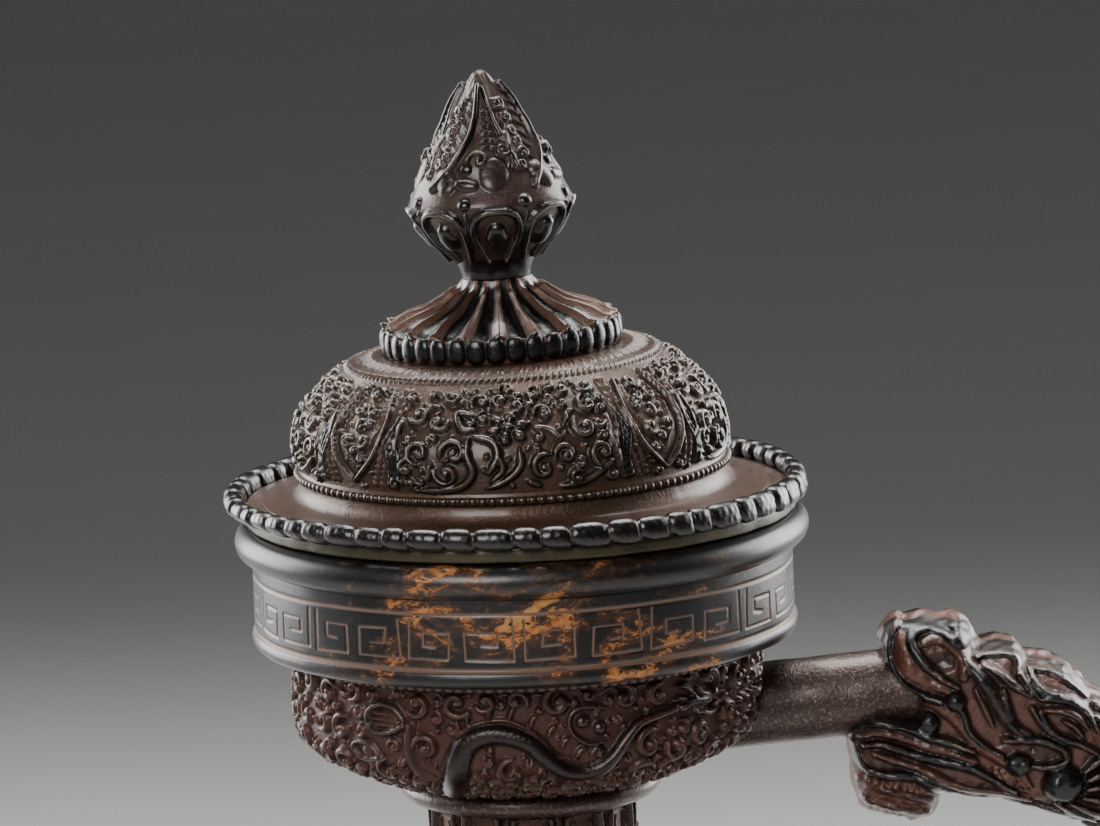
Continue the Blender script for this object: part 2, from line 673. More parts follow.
@dataclass
class Turned:
    """A turned piece: an outline round Z whose outer side carries relief.

    skin goes up the outside and back comes down the inside, both as (radius, height).
    """

    name: str
    skin: list[Point]
    back: list[Point]
    around: int
    gap: float = 0.26
    settle_tilt: Callable[[np.ndarray], np.ndarray] | None = None
    relief: Relief = field(init=False)
    outline: np.ndarray = field(init=False)

    def __post_init__(self) -> None:
        """Spaces the skin evenly and lays the relief's grid on it."""
        raw = np.array(self.skin, float)
        far = np.insert(np.cumsum(np.linalg.norm(np.diff(raw, axis=0), axis=1)), 0, 0)
        rows = np.linspace(0, far[-1], max(int(far[-1] / self.gap), 2) + 1)
        self.outline = np.column_stack([np.interp(rows, far, raw[:, 0]), np.interp(rows, far, raw[:, 1])])
        angles = np.arange(self.around) * TURN / self.around
        self.relief = Relief(angles, rows, np.maximum(self.outline[:, 0], 0.3))

    def along(self, height: float, near: float | None = None) -> float:
        """Returns how far along the skin a height is, on the stretch near a radius."""
        gap = np.abs(self.outline[:, 1] - height)
        if near is not None:
            gap = gap + np.abs(self.outline[:, 0] - near)
        return float(self.relief.rows[int(np.argmin(gap))])

    def radius_at(self, along: float) -> float:
        """Returns the radius at a distance along the skin."""
        return float(np.interp(along, self.relief.rows, self.outline[:, 0]))

    def pen(self, angle: float, height: float, lean: float = 0.0, mirrored: bool = False) -> Pen:
        """Returns a pen at an angle in degrees and a height."""
        along = self.along(height)
        return Pen(math.radians(angle), along, self.radius_at(along), math.radians(lean), mirrored)

    def line(self, points: Iterable[Point], wide: float | Sequence[float], height: float,
            ink: float = 0.5, turn: float = 0.0, tip: tuple[float, float] = (0.5, 0.5)) -> Stroke:
        """Draws a stroke through (angle in degrees, height) points.

        Args:
            points: the points.
            wide: the half width, or one for each point.
            height: how far it stands up.
            ink: how dark it is.
            turn: degrees by which the whole stroke is turned round Z.
            tip: how wide its two ends are, as shares.

        Returns:
            The stroke.
        """
        known = list(points)
        mean = math.radians(1) * self.radius_at(self.along(known[0][1]))
        flat = [((angle + turn) * mean, self.along(up)) for angle, up in known]
        line = line_through(flat, 0.5)
        line[:, 0] = line[:, 0] / mean * math.radians(1)
        share = np.linspace(0, 1, len(line))
        if isinstance(wide, (int, float)):
            widths = wide * np.minimum(1, np.minimum(tip[0] + share * 4, tip[1] + (1 - share) * 4))
        else:
            widths = np.interp(share, np.linspace(0, 1, len(wide)), wide)
        return Stroke(line, widths, height, ink)

    def draw(self, points: Iterable[Point], wide: float | Sequence[float], height: float,
            ink: float = 0.5, turn: float = 0.0, tip: tuple[float, float] = (0.5, 0.5)) -> None:
        """Presses a stroke that is drawn as by line."""
        self.relief.press([self.line(points, wide, height, ink, turn, tip)])

    def beads(self, height: float, count: int, long: float, wide: float, up: float, ink: float = 0.6,
            near: float | None = None, jitter: float = 0.0, seed: int = 1) -> None:
        """Presses a ring of beads: half lengths round the ring and along the skin."""
        dice = np.random.default_rng(seed)
        centre = self.along(height, near)
        radius = self.radius_at(centre)
        step = TURN / count
        turns = np.round(self.relief.angles / step)
        shift = dice.uniform(-jitter, jitter, count)[turns.astype(int) % count] * step
        size = 1 + dice.uniform(-jitter, jitter, count)[turns.astype(int) % count]
        across = (self.relief.angles - turns * step - shift) * radius / (long * size)
        rise = (self.relief.rows - centre) / wide
        body = np.clip(1 - np.abs(across[:, None]) ** 2.6 - np.abs(rise[None, :]) ** 2.6, 0, 1)
        self.relief.lay(up * body ** 0.45, ink)

    def cord(self, height: float, wide: float, up: float, ink: float = 0.5) -> None:
        """Presses a plain ring round the skin."""
        rise = (self.relief.rows - self.along(height)) / wide
        self.relief.lay((up * np.clip(1 - rise ** 2, 0, 1) ** 0.5)[None, :], ink)

    def scribe(self, height: float, wide: float, depth: float, near: float | None = None) -> None:
        """Cuts a line right round the skin."""
        gap = np.abs(self.relief.rows - self.along(height, near)) / wide
        cut = np.clip(1.4 - gap, 0, 1)[None, :]
        self.relief.height = self.relief.height - cut * depth
        self.relief.cut = np.maximum(self.relief.cut, cut)

    def points(self) -> tuple[np.ndarray, dict[str, np.ndarray]]:
        """Returns the raised points of the whole outline and their marks."""
        slope = np.gradient(self.outline, axis=0)
        slope /= np.maximum(np.linalg.norm(slope, axis=1), 1e-9)[:, None]
        outward = np.column_stack([slope[:, 1], -slope[:, 0]])
        r = self.outline[None, :, 0] + self.relief.height * outward[None, :, 0]
        z = self.outline[None, :, 1] + self.relief.height * outward[None, :, 1]
        plain = np.array(self.back, float).reshape(-1, 2)
        extra = np.ones((self.around, 1))
        r = np.hstack([np.maximum(r, 0.01), plain[None, :, 0] * extra])
        z = np.hstack([z, plain[None, :, 1] * extra])
        turn = self.relief.angles[:, None]
        points = np.stack([r * np.cos(turn), r * np.sin(turn), z], axis=-1)
        marks = self.relief.marks()
        marks["front"] = np.clip(-np.sin(turn), 0, 1) ** 2 * np.ones_like(marks["raised"])
        marks = {key: np.hstack([values, np.zeros((self.around, len(plain)))])
            for key, values in marks.items()}
        if self.settle_tilt is not None:
            points = self.settle_tilt(points)
        return points, marks

    def make(self, shop: Workshop, closed: bool = True) -> bpy.types.Object:
        """Makes the piece's mesh."""
        points, marks = self.points()
        return shop.skin(self.name, points, marks, closed)


def lid_settle(points: np.ndarray) -> np.ndarray:
    """Leans the lid's pieces a little to the left, more towards the tip, as the old lid sits."""
    heights = [232.6, 234.2, 245, 257, 268, 300]
    shift = np.interp(points[..., 2], heights, [0.0, -0.8, -1.4, -2.0, -2.4, -3.9])
    tilt = np.radians(np.interp(points[..., 2], heights, [0.0, 0.35, 0.7, 1.8, 2.2, 2.6]))
    moved = points.copy()
    moved[..., 2] += points[..., 0] * np.sin(tilt)
    moved[..., 0] += shift
    return moved


# The lid.


@dataclass
class Lid:
    """The domed lid with its beaded rim and the lotus bud on its fluted foot."""

    shop: Workshop
    rim_beads: int = 56
    string_beads: int = 140
    flutes: int = 20
    lobes: int = 37
    petals: int = 8

    def build(self) -> None:
        """Makes every piece of the lid."""
        self.bezel_and_seat()
        self.dome()
        self.bead_rim()
        self.finial_foot()
        self.bud()

    def bezel_and_seat(self) -> None:
        """Makes the plain rings under the flange and dresses the washer."""
        bezel = Turned("lid_bezel_ring", [(38.4, 224.6), (39.5, 224.6), (39.8, 225), (39.8, 232.6)],
            [(38.3, 232.6), (38.3, 224.7)], 240)
        bezel.relief.roughen(0.04, 9, 11)
        self.shop.settle(bezel.make(self.shop), BARE, "lid_bezel", "bare_brass", Body.LID)
        seat = Turned("lid_seat_band", [(39.9, 230.5), (42.7, 230.5), (43, 230.8), (43, 232.2),
            (42.8, 232.6)], [(39.9, 232.6)], 300)
        seat.relief.roughen(0.05, 6, 12)
        self.shop.settle(seat.make(self.shop), GREENISH, "lid_seat_ring", "greenish_brass", Body.LID)
        dress("finial_washer", self.shop.finish(BARE))

    def dome(self) -> None:
        """Makes the flange, the cavetto and the dome with its panels."""
        side = curve((33.2, 238.9), (33.35, 241.5), (33.3, 243.8), (32.5, 246.8), (31.2, 248.8),
            (29.5, 250.8), (27.9, 252.3), (25.9, 254), (23.8, 255.6), (21.5, 256.3), (19, 256.6))
        cavetto = curve((39.6, 234.2), (36.6, 234.35), (34.6, 235.0), (33.6, 236.2), (33.3, 237.5))
        dome = Turned("lid_dome_shell", [(39.9, 232.6), (42.4, 232.6), (42.5, 233.5), (40, 233.6),
            *cavetto, (33.7, 237.7), (33.7, 238.8), *side], [(2.5, 256.6), (2.5, 254.6), (19, 254.6),
            (23, 253.6), (28, 250.3), (31.2, 246.2), (31.4, 238), (31.4, 232.6)], 840, 0.23, lid_settle)
        dome.relief.roughen(0.05, 4, 13)
        dome.beads(238.25, self.string_beads, 0.62, 0.56, 0.5, 0.55, near=33.7)
        dome.cord(239.05, 0.22, 0.22, 0.2)
        for turn in (0, 90, 180, 270):
            self.scroll_panel(dome, turn)
            self.lappet(dome, turn + 45)
        dome.relief.fill(dome.along(239.4, 33.3), dome.along(254.6), (1.6, 1.3, 1.0, 0.75, 0.55), 0.9,
            0.75, 14)
        dome.relief.tint[:, dome.relief.rows < dome.along(238.0, 33.7)] = 0.34
        dome.relief.tint[:, dome.relief.rows > dome.along(254.4)] = 0.5
        for step in range(150):
            angle = step * 360 / 150
            dome.draw([(angle, 255.0), (angle + 1.6, 255.55)], 0.3, 0.36, 0.3)
        for step in range(120):
            angle = step * 3 + (step * 7 % 5) * 0.35
            dome.draw([(angle, 256.05), (angle + 1.2, 256.45)], 0.17, 0.26, 0.25)
        self.shop.settle(dome.make(self.shop), OLIVE, "lid_dome", "olive_bronze", Body.LID)

    def scroll_panel(self, dome: Turned, turn: float) -> None:
        """Presses one panel of scrolls round a flower."""
        curls = [(-115.6, 250.7, 1.55, 200, 330), (-109.2, 249.7, 1.5, 20, -330),
            (-106.0, 253.0, 1.1, 180, 320), (-112.5, 253.3, 0.8, 0, 300), (-97.0, 252.3, 1.25, 200, -320),
            (-89.0, 253.7, 1.0, 180, -330), (-80.6, 253.0, 1.3, 10, 330), (-86.7, 251.6, 1.0, 240, 300),
            (-79.1, 250.4, 1.35, 190, -340), (-65.3, 251.1, 1.5, 100, 330), (-68.3, 248.2, 1.9, 120, 310),
            (-114.1, 245.7, 1.8, 250, -340), (-104.3, 245.7, 2.0, 200, -340),
            (-117.5, 243.3, 1.3, 30, 320), (-106.5, 242.6, 1.8, 160, 330), (-75.0, 244.7, 1.6, 200, -340),
            (-81.1, 243.1, 1.8, 60, 330), (-64.9, 244.4, 1.8, 250, -330), (-121.0, 240.8, 1.0, 0, 300),
            (-72.6, 241.2, 1.1, 40, 320), (-71.5, 253.2, 0.9, 200, 300), (-119.5, 253.0, 0.8, 100, 300),]
        for angle, height, size, start, wind in curls:
            pen = dome.pen(angle + turn, height)
            dome.relief.press(pen.curl(size * 1.14, start, wind, 0.26 + 0.15 * size, 1.0, 0.8,
                pearl=0.4 * size))
        petals = dome.pen(-89.5 + turn, 248.9)
        for petal in range(6):
            lean = math.radians(petal * 60 + 15)
            place = np.array([[2.1 * math.cos(lean), 1.75 * math.sin(lean)]])
            spot = petals.put(place)[0]
            boss = Pen(spot[0], spot[1], petals.radius, lean - math.pi / 2)
            dome.relief.press([boss.drop(1.5, 1.15, 1.15, 0.95, Section.SOFT)])
        dome.relief.press([petals.drop(1.0, 1.0, 1.3, 0.9)])
        blades = [([(-99.5, 248.0), (-94.0, 247.2), (-92.8, 245.0), (-95.7, 242.5)], 0.5),
            ([(-92.6, 245.4), (-91.8, 243.2), (-95.1, 241.3)], 0.42), ([(-87.1, 246.0), (-87.2, 243.5),
            (-91.1, 241.5), (-96.4, 240.4)], 0.45), ([(-100.2, 247.8), (-100.9, 245.3), (-99.6, 242.8),
            (-102.5, 240.9), (-109, 240.2), (-116, 240.2)], 0.5), ([(-62.4, 243.4), (-66.5, 241.8),
            (-71.0, 240.5), (-77, 240.2)], 0.5), ([(-98.5, 250.6), (-103.5, 250.9), (-102.2, 248.9),
            (-97.6, 248.9)], 0.5), ([(-82.6, 248.6), (-78.6, 248.3), (-75.6, 246.9)], 0.5),
            ([(-120.4, 250.2), (-120.8, 247.6), (-121.6, 244.6)], 0.28), ([(-60.8, 249.4), (-61.4, 246.6),
            (-60.4, 243.0)], 0.3), ([(-113, 251.9), (-108.6, 251.7)], 0.3),
            ([(-72.4, 250.2), (-73.6, 248.8)], 0.4), ([(-110.6, 244.2), (-111.6, 241.6)], 0.35),
            ([(-85.6, 241.2), (-82.2, 240.3)], 0.35),]
        for points, wide in blades:
            dome.draw(points, wide * 1.35, 0.95, 0.8, turn=turn, tip=(0.35, 0.2))
        for angle, height in ((-105, 248.0), (-74.2, 247.8), (-70.0, 254.2), (-109, 240.4),
                (-83.5, 249.4), (-94.6, 253.8), (-101.5, 253.6), (-75.6, 251.4), (-116.6, 248.4),
                (-69.2, 245.8), (-89.6, 240.6)):
            dome.relief.press([dome.pen(angle + turn, height).drop(0.42, 0.42, 0.7, 0.7)])
        for edge, lean in ((-122.2, -1.0), (-124.6, -1.0), (-57.8, 1.0), (-55.4, 1.0)):
            dome.draw([(edge, 254.2), (edge + lean, 247), (edge + lean * 3.4, 240.2)], 0.24, 0.42, 0.4,
                turn=turn)
            for knot in range(15):
                share = knot / 14
                angle = edge + lean * (0.4 + 3.0 * share ** 2) + turn
                spot = dome.pen(angle, 253.8 - 13.2 * share, 40)
                dome.relief.press([spot.drop(0.42, 0.2, 0.62, 0.4)])

    def lappet(self, dome: Turned, turn: float) -> None:
        """Presses one pointed lappet with its flames."""
        for side in (-1, 1):
            edge = [(-90 + side * 7.0, 253.6), (-90 + side * 9.4, 249.6), (-90 + side * 7.2, 245.0),
                (-90, 240.6)]
            dome.draw(edge, 0.42, 0.95, 0.9, turn=turn)
            inner = [(-90 + side * 4.6, 252.6), (-90 + side * 6.2, 249.2), (-90, 242.8)]
            dome.draw(inner, 0.2, 0.5, 0.5, turn=turn)
            for height, size, start in ((251.0, 1.2, 90), (247.0, 1.3, 200)):
                pen = dome.pen(-90 + side * 2.9 + turn, height, mirrored=side < 0)
                dome.relief.press(pen.curl(size, start, 320, 0.38, 0.85, 0.85, pearl=0.4))
            for step in range(4):
                foot = -90 + side * (11.6 + step * 0.9)
                flame = [(foot, 240.4), (foot + side * 0.9, 243.6), (foot - side * 0.9, 246.8 + step),
                    (foot + side * 0.4, 249.2 + step)]
                dome.draw(flame, 0.32, 0.7, 0.75, turn=turn, tip=(0.8, 0.1))
        dome.relief.press([dome.pen(-90 + turn, 249.1).drop(1.5, 1.0, 1.0, 0.9),
            dome.pen(-90 + turn, 245.4).drop(1.0, 0.8, 0.9, 0.8)])

    def bead_rim(self) -> None:
        """Makes the string of long beads round the flange."""
        around, parts = 1120, 26
        turn = np.arange(around) * TURN / around
        dice = np.random.default_rng(5)
        edges = np.cumsum(dice.uniform(0.72, 1.3, self.rim_beads))
        edges = np.insert(edges / edges[-1] * TURN, 0, 0)
        bead = np.clip(np.searchsorted(edges, turn, side="right") - 1, 0, self.rim_beads - 1)
        share = (turn - edges[bead]) / (edges[bead + 1] - edges[bead])
        size = dice.uniform(0.86, 1.05, self.rim_beads)[bead]
        drift = dice.uniform(-0.14, 0.14, self.rim_beads)[bead]
        swell = np.clip(1 - np.abs(2 * share - 1) ** 3.2, 0, 1) ** 0.42
        radius = 0.7 + 1.0 * swell * size
        section = np.arange(parts) * TURN / parts
        ring = 44.0 + drift[:, None] * swell[:, None] + radius[:, None] * np.cos(section)[None, :]
        height = 234.35 + (radius * 1.12)[:, None] * np.sin(section)[None, :]
        dents = 0.05 * np.sin(turn * 211)[:, None] * np.sin(section * 3)[None, :]
        ring = ring + dents
        points = np.stack([ring * np.cos(turn)[:, None], ring * np.sin(turn)[:, None], height], -1)
        ones = np.ones((around, parts))
        marks = {"raised": swell[:, None] ** 2 * ones, "inked": swell[:, None] * 0.9 * ones,
            "rubbed": (swell[:, None] > 0.97) * 0.2 * ones, "sunk": np.clip(1 - swell[:, None] * 1.6, 0,
            1) * ones}
        piece = self.shop.skin("lid_bead_string", lid_settle(points), marks, closed=True)
        self.shop.settle(piece, DARK, "lid_bead_rim", "dark_bronze", Body.LID)

    def finial_foot(self) -> None:
        """Makes the finial's foot with its flutes and its row of lobes."""
        flare = curve((17.0, 260.6), (14.3, 262.0), (11.0, 263.1), (9.1, 264.1), (7.5, 265.2),
            (6.1, 266.4), (5.5, 267.8))
        foot = Turned("finial_foot_fluted", [(2.5, 256.62), (17.9, 256.62), (18.0, 257.2), (18.0, 260.2),
            (17.6, 260.6), *flare], [(2.5, 267.8)], 740, 0.16, lid_settle)
        relief = foot.relief
        turns = relief.angles[:, None]
        lobe = np.abs(np.mod(turns * self.lobes / TURN, 1) * 2 - 1)
        rise = (foot.outline[:, 1] - 258.75) / 1.9
        on_rim = (foot.outline[:, 0] > 17.5)
        shape = np.clip(1 - lobe ** 2.4 - np.abs(rise[None, :]) ** 3, 0, 1) ** 0.45
        relief.height += np.where(on_rim[None, :], 0.95 * shape, 0)
        relief.ink = np.where(relief.height > 0, 0.55, relief.ink)
        flute = np.abs(np.mod(turns * self.flutes / TURN + 0.5, 1) * 2 - 1)
        out = np.clip((foot.outline[:, 0] - 5.4) / 12.2, 0, 1)
        edge = np.clip((foot.outline[:, 0] - 5.6) / 1.5, 0, 1)
        above = (foot.outline[:, 1] > 260.4) & (foot.outline[:, 0] > 5.45)
        hollow = (0.25 + 0.95 * out) * (1 - (1 - flute) ** 1.5 * 1.0)
        scallop = np.clip((out - 0.86) / 0.14, 0, 1)[None, :] * np.clip(flute - 0.55, 0, 1) * 1.1
        crest = np.where(above[None, :], (1 - flute) ** 2.2 * 0.9 * edge - hollow * 0.4 * edge, 0)
        relief.height += np.where(above[None, :], crest - scallop * 0.6, 0)
        groove = np.where(above[None, :], np.clip(flute * 4.0 - 1.2, 0, 1), 0)
        relief.tint = np.maximum(relief.tint, groove)
        relief.tint[:, ~above] = 0.5
        relief.roughen(0.035, 2.4, 21)
        self.shop.settle(foot.make(self.shop), FLUTED, "finial_foot", "dark_bronze", Body.LID)

    def bud(self) -> None:
        """Makes the lotus bud with its tang."""
        side = curve((5.4, 267.8), (5.6, 269.0), (6.4, 270.8), (8.0, 272.8), (9.8, 274.8), (11.2, 276.8),
            (12.1, 278.6), (12.5, 280.0), (11.9, 281.5), (11.0, 283.1), (9.9, 285.2), (8.7, 287.6),
            (6.9, 290.2), (5.4, 292.7), (4.0, 295.2), (2.4, 297.6), (1.0, 299.5), (0.05, 300.0))
        bud = Turned("finial_lotus_bud", [(0.05, 251.8), (2.4, 251.8), (3.8, 252.5), (3.8, 253.2),
            (2.4, 253.2), (2.4, 267.8), *side], [], 440, 0.21, lid_settle)
        for petal in range(self.petals):
            self.bud_petal(bud, FRONT + 4 + petal * 360 / self.petals)
        for sector in range(4):
            self.bud_leaf(bud, FRONT - 16 + sector * 90, sector)
        facets = np.cos(bud.relief.angles * 4 + 0.6)[:, None]
        upper = np.clip((bud.outline[:, 1] - 282) / 6, 0, 1) * np.clip((300 - bud.outline[:, 1]) / 5, 0,
            1)
        bud.relief.height += facets * 0.32 * upper[None, :]
        bud.relief.fill(bud.along(284.0, 10.5), bud.along(296.5, 3.2), (1.0, 0.7), 0.4, 0.6, 32)
        bud.relief.roughen(0.05, 3, 31)
        bud.relief.tint[:, :] = 0.3
        bud.relief.tint[:, bud.relief.rows < bud.along(271.2, 8.0)] = 0.8
        self.shop.settle(bud.make(self.shop, closed=False), LOTUS, "finial_bud", "dark_bronze", Body.LID)

    def bud_petal(self, bud: Turned, angle: float) -> None:
        """Presses one upright petal round the bud's foot."""
        for side in (-1, 1):
            rim = [(angle + side * 10.5, 271.2), (angle + side * 15.5, 273.2),
                (angle + side * 18.6, 275.4), (angle + side * 18.2, 277.2), (angle + side * 14.0, 278.7),
                (angle + side * 6, 279.4), (angle, 279.5)]
            bud.draw(rim, (0.25, 0.4, 0.5, 0.6, 0.65, 0.6, 0.55), 0.95, 1.0)
        bud.relief.press([bud.pen(angle, 275.4).drop(3.0, 1.75, 1.15, 1.0)])
        gap = angle + 22.5
        bud.relief.press([bud.line([(gap, 273.6), (gap, 276.4), (gap, 279.0)], (0.2, 0.5, 0.35), 0.5,
            0.9), bud.pen(gap, 280.7).drop(0.6, 1.0, 0.6, 0.9)])

    def bud_leaf(self, bud: Turned, angle: float, sector: int) -> None:
        """Presses one spiralling leaf with its veins on the bud's upper part."""
        rib = [(angle - 34, 282.6), (angle - 18, 286.0), (angle - 4, 289.6), (angle + 4, 293.6),
            (angle + 6, 297.6)]
        bud.relief.press([bud.pen(angle - 22, 283.9, lean=30).drop(2.9, 1.9, 0.8, 0.05),
            bud.pen(angle + 22, 284.8, lean=-24).drop(3.2, 2.2, 0.5, 0.02),
            bud.pen(angle + 40, 289.3, lean=-20).drop(2.4, 1.2, 0.7, 0.05),
            bud.pen(angle - 2, 283.4, lean=80).drop(2.2, 1.1, 0.7, 0.05)])
        bud.draw(rib, (0.55, 0.6, 0.5, 0.42, 0.3), 0.9, 0.25)
        for vein in range(7):
            up = 286.6 + vein * 1.45
            start = angle - 24 + vein * 5.2
            bud.draw([(start, up), (start - 9 - vein, up + 1.4)], 0.2, 0.42, 0.5, tip=(1, 0.2))
        for vein in range(6):
            up = 288.6 + vein * 1.05
            bud.draw([(angle + 12, up), (angle + 21, up + 0.15), (angle + 30, up - 0.25)], 0.17, 0.4, 0.7)
        for ring in range(3):
            reach = 4.5 + ring * 4.5
            side = angle - 40
            bud.draw([(side - reach, 285.6), (side - reach * 0.7, 288.4 + ring * 0.5),
                (side + 2, 290.4 + ring * 0.9), (side + reach * 0.8, 288.2 + ring * 0.4)], 0.24, 0.5, 0.5)
        lobe = bud.pen(angle + 9 + 4 * (sector % 2), 286.8)
        bud.relief.press(lobe.curl(1.75, 190, -300, 0.36, 0.75, 0.3, pearl=0.42))
        bud.relief.press(bud.pen(angle + 34, 288.2, mirrored=True).curl(1.5, 150, 300, 0.34, 0.7, 0.5))
        bud.draw([(angle + 46, 285.4), (angle + 40, 289.5), (angle + 30, 293.6), (angle + 20, 297.4)],
            (0.4, 0.5, 0.4, 0.25), 0.6, 0.7)
        bud.relief.press([bud.pen(angle - 3, 285.6).drop(0.55, 1.0, 0.5, 0.8)])


# The mouth.


@dataclass
class Mouth:
    """The rolled mouth, the key band, the relief bulb and the neck under it."""

    shop: Workshop
    key_units: int = 29
    key_rows: tuple[float, float] = (215.0, 221.8)
    key_cut: float = 0.2
    key_depth: float = 0.15
    neck_petals: int = 12

    def build(self) -> None:
        """Makes every piece from the mouth down to the neck's foot."""
        self.roll()
        self.collar()
        self.bead_wire()
        self.bulb()
        self.neck_rings()
        self.neck()

    def roll(self) -> None:
        """Makes the black half-round roll."""
        nose = arc((42.15, 227.55), 2.72, -76, 76, 16)
        roll = Turned("mouth_black_roll", [(40.3, 224.82), (42.6, 224.82), *nose, (42.6, 230.28)],
            [(40.6, 230.3), (40.3, 230)], 480)
        roll.relief.roughen(0.06, 12, 41)
        self.shop.settle(roll.make(self.shop), BLACK_ROLL, "mouth_roll", "worn_gilt_bronze")

    def collar(self) -> None:
        """Makes the wide collar with its cut key band."""
        foot = arc((40.9, 212.55), 1.42, -85, 0, 6)
        collar = Turned("mouth_key_collar", [(34.4, 211.22), (39.8, 211.22), *foot, (42.3, 213.6),
            (42.3, 224.8)], [(40.3, 224.8), (40.3, 213.2), (34.3, 213.2)], 1330, 0.2)
        relief = collar.relief
        lip = np.clip(1 - ((collar.outline[:, 1] - 212.5) / 1.35) ** 2, 0, 1) ** 0.5
        relief.height += np.where(collar.outline[:, 0] > 40.9, lip * 0.45, 0)[None, :]
        relief.roughen(0.045, 10, 42)
        for height in (214.2, 222.55):
            collar.scribe(height, 0.24, 0.16)
        collar.scribe(213.75, 0.1, 0.1)
        self.keys(collar)
        self.shop.settle(collar.make(self.shop), GILT, "key_collar", "worn_gilt_bronze")

    def keys(self, collar: Turned) -> None:
        """Cuts the uneven key pattern round the band."""
        dice = np.random.default_rng(9)
        edges = np.cumsum(dice.uniform(0.88, 1.12, self.key_units))
        edges = np.insert(edges / edges[-1] * 360, 0, 0)
        low, high = self.key_rows
        hook = [(0.1, 1.0), (0.1, 0.1), (0.86, 0.1), (0.86, 0.72), (0.36, 0.72), (0.36, 0.4), (0.62, 0.4)]
        for unit in range(self.key_units):
            start, wide = edges[unit], edges[unit + 1] - edges[unit]
            known = [(1 - x if unit % 2 else x, y) for x, y in hook]
            shake = dice.uniform(-0.025, 0.025, (len(known), 2))
            points = [(start + (x + dx) * wide, low + (y + dy) * (high - low))
                for (x, y), (dx, dy) in zip(known, shake)]
            for first, last in zip(points, points[1:]):
                line = np.array([[math.radians(first[0]), collar.along(first[1], 42.3)],
                    [math.radians(last[0]), collar.along(last[1], 42.3)]])
                collar.relief.engrave([Stroke(line, np.full(2, self.key_cut), self.key_depth)])

    def bead_wire(self) -> None:
        """Makes the small bead string under the collar."""
        nose = arc((36.75, 210.3), 0.95, -80, 80, 8)
        wire = Turned("collar_bead_string", [(36.55, 209.42), *nose, (36.55, 211.15)], [(36.3, 210.4)],
            900, 0.16)
        wire.beads(210.3, 150, 0.68, 0.7, 0.34, 0.4, near=37.7, jitter=0.12, seed=3)
        wire.relief.roughen(0.03, 4, 43)
        self.shop.settle(wire.make(self.shop), RED_BROWN, "collar_bead_wire", "dark_bronze")

    def bulb(self) -> None:
        """Makes the bulb with two dragons among clouds and flames."""
        side = curve((18.6, 189.2), (20.6, 189.5), (23.6, 190.5), (27.0, 191.9), (30.6, 193.6),
            (33.2, 195.0), (35.0, 196.6), (35.9, 198.6), (36.2, 201.5), (36.2, 205.5), (36.1, 209.0),
            (36.3, 211.2))
        bulb = Turned("bulb_dragon_relief", [(13.5, 189.22), (18.4, 189.22), *side],
            [(34.3, 211.2), (34.3, 202), (32.6, 196.8), (13.4, 191.4)], 1040, 0.235)
        bulb.relief.roughen(0.07, 4, 44)
        for turn in (0, 180):
            self.dragon(bulb, turn)
            self.clouds(bulb, turn)
        bulb.relief.fill(bulb.along(190.4), bulb.along(210.6), (2.0, 1.6, 1.25, 0.95, 0.7, 0.5), 0.85,
            0.2, 47)
        self.shop.settle(bulb.make(self.shop), RED_BROWN, "mouth_bulb")

    def dragon(self, bulb: Turned, turn: float) -> None:
        """Presses one winding dragon's body with its crest and barbs."""
        body = [(-114.0, 192.6), (-109.2, 195.6), (-107.2, 198.6), (-105.2, 201.0), (-101.8, 202.5),
            (-98.0, 202.9), (-93.5, 202.6), (-89.4, 201.3), (-86.0, 199.2), (-82.3, 197.3),
            (-77.5, 196.5), (-72.4, 197.0), (-69.0, 198.8), (-66.2, 201.2), (-62.6, 203.1),
            (-57.7, 203.9), (-52.6, 204.3)]
        widths = (1.9, 1.95, 1.95, 1.9, 1.8, 1.65, 1.5, 1.4, 1.3, 1.2, 1.15, 1.05, 0.9, 0.7, 0.5)
        bulb.draw(body, widths, 1.6, 1.0, turn=turn)
        crest = [(-112.6, 196.0), (-109.6, 200.0), (-105.6, 203.4), (-100.8, 204.8), (-95.0, 205.0),
            (-90.0, 203.7), (-86.4, 201.7), (-83.2, 199.5), (-78.0, 198.6)]
        bulb.draw(crest, 0.3, 0.75, 0.35, turn=turn)
        loop = [(-119.5, 204.0), (-120.2, 199.6), (-118.0, 196.4), (-113.6, 195.2)]
        bulb.relief.press([bulb.line(loop, 0.75, 0.85, 0.3, turn=turn), bulb.line([(a + 2.6, z + 0.8)
            for a, z in loop], 0.28, 0.6, 0.3, turn=turn)])
        barbs = ((-104.2, 205.6), (-98.9, 206.3), (-93.8, 206.3), (-88.7, 205.0), (-84.4, 203.4),
            (-81.2, 201.6), (-77.4, 199.9), (-73.8, 200.0))
        for step, (angle, height) in enumerate(barbs):
            pen = bulb.pen(angle + turn, height, 62 - step * 6)
            bulb.relief.press([pen.stroke([(-0.9, -0.3), (0, 0.12), (1.1, 0.1)], 0.46, 0.8, 0.5,
                (0.8, 0.05))])
        dots = line_through([(a, z) for a, z in body[2:9]], 1.2)
        for angle, height in dots:
            bulb.relief.press([bulb.pen(angle + turn, height + 0.75).drop(0.26, 0.26, 1.6, 0.9)])
        claw = bulb.pen(-86.2 + turn, 195.6)
        for x, y in ((1.4, 0.9), (1.7, -0.1), (1.2, -1.1), (-0.4, -1.3)):
            bulb.relief.press([claw.stroke([(0, 0), (x * 0.6, y * 0.8), (x, y * 1.3)], 0.42, 0.95, 0.7,
                (1, 0.1))])
        self.dragon_face(bulb, turn)

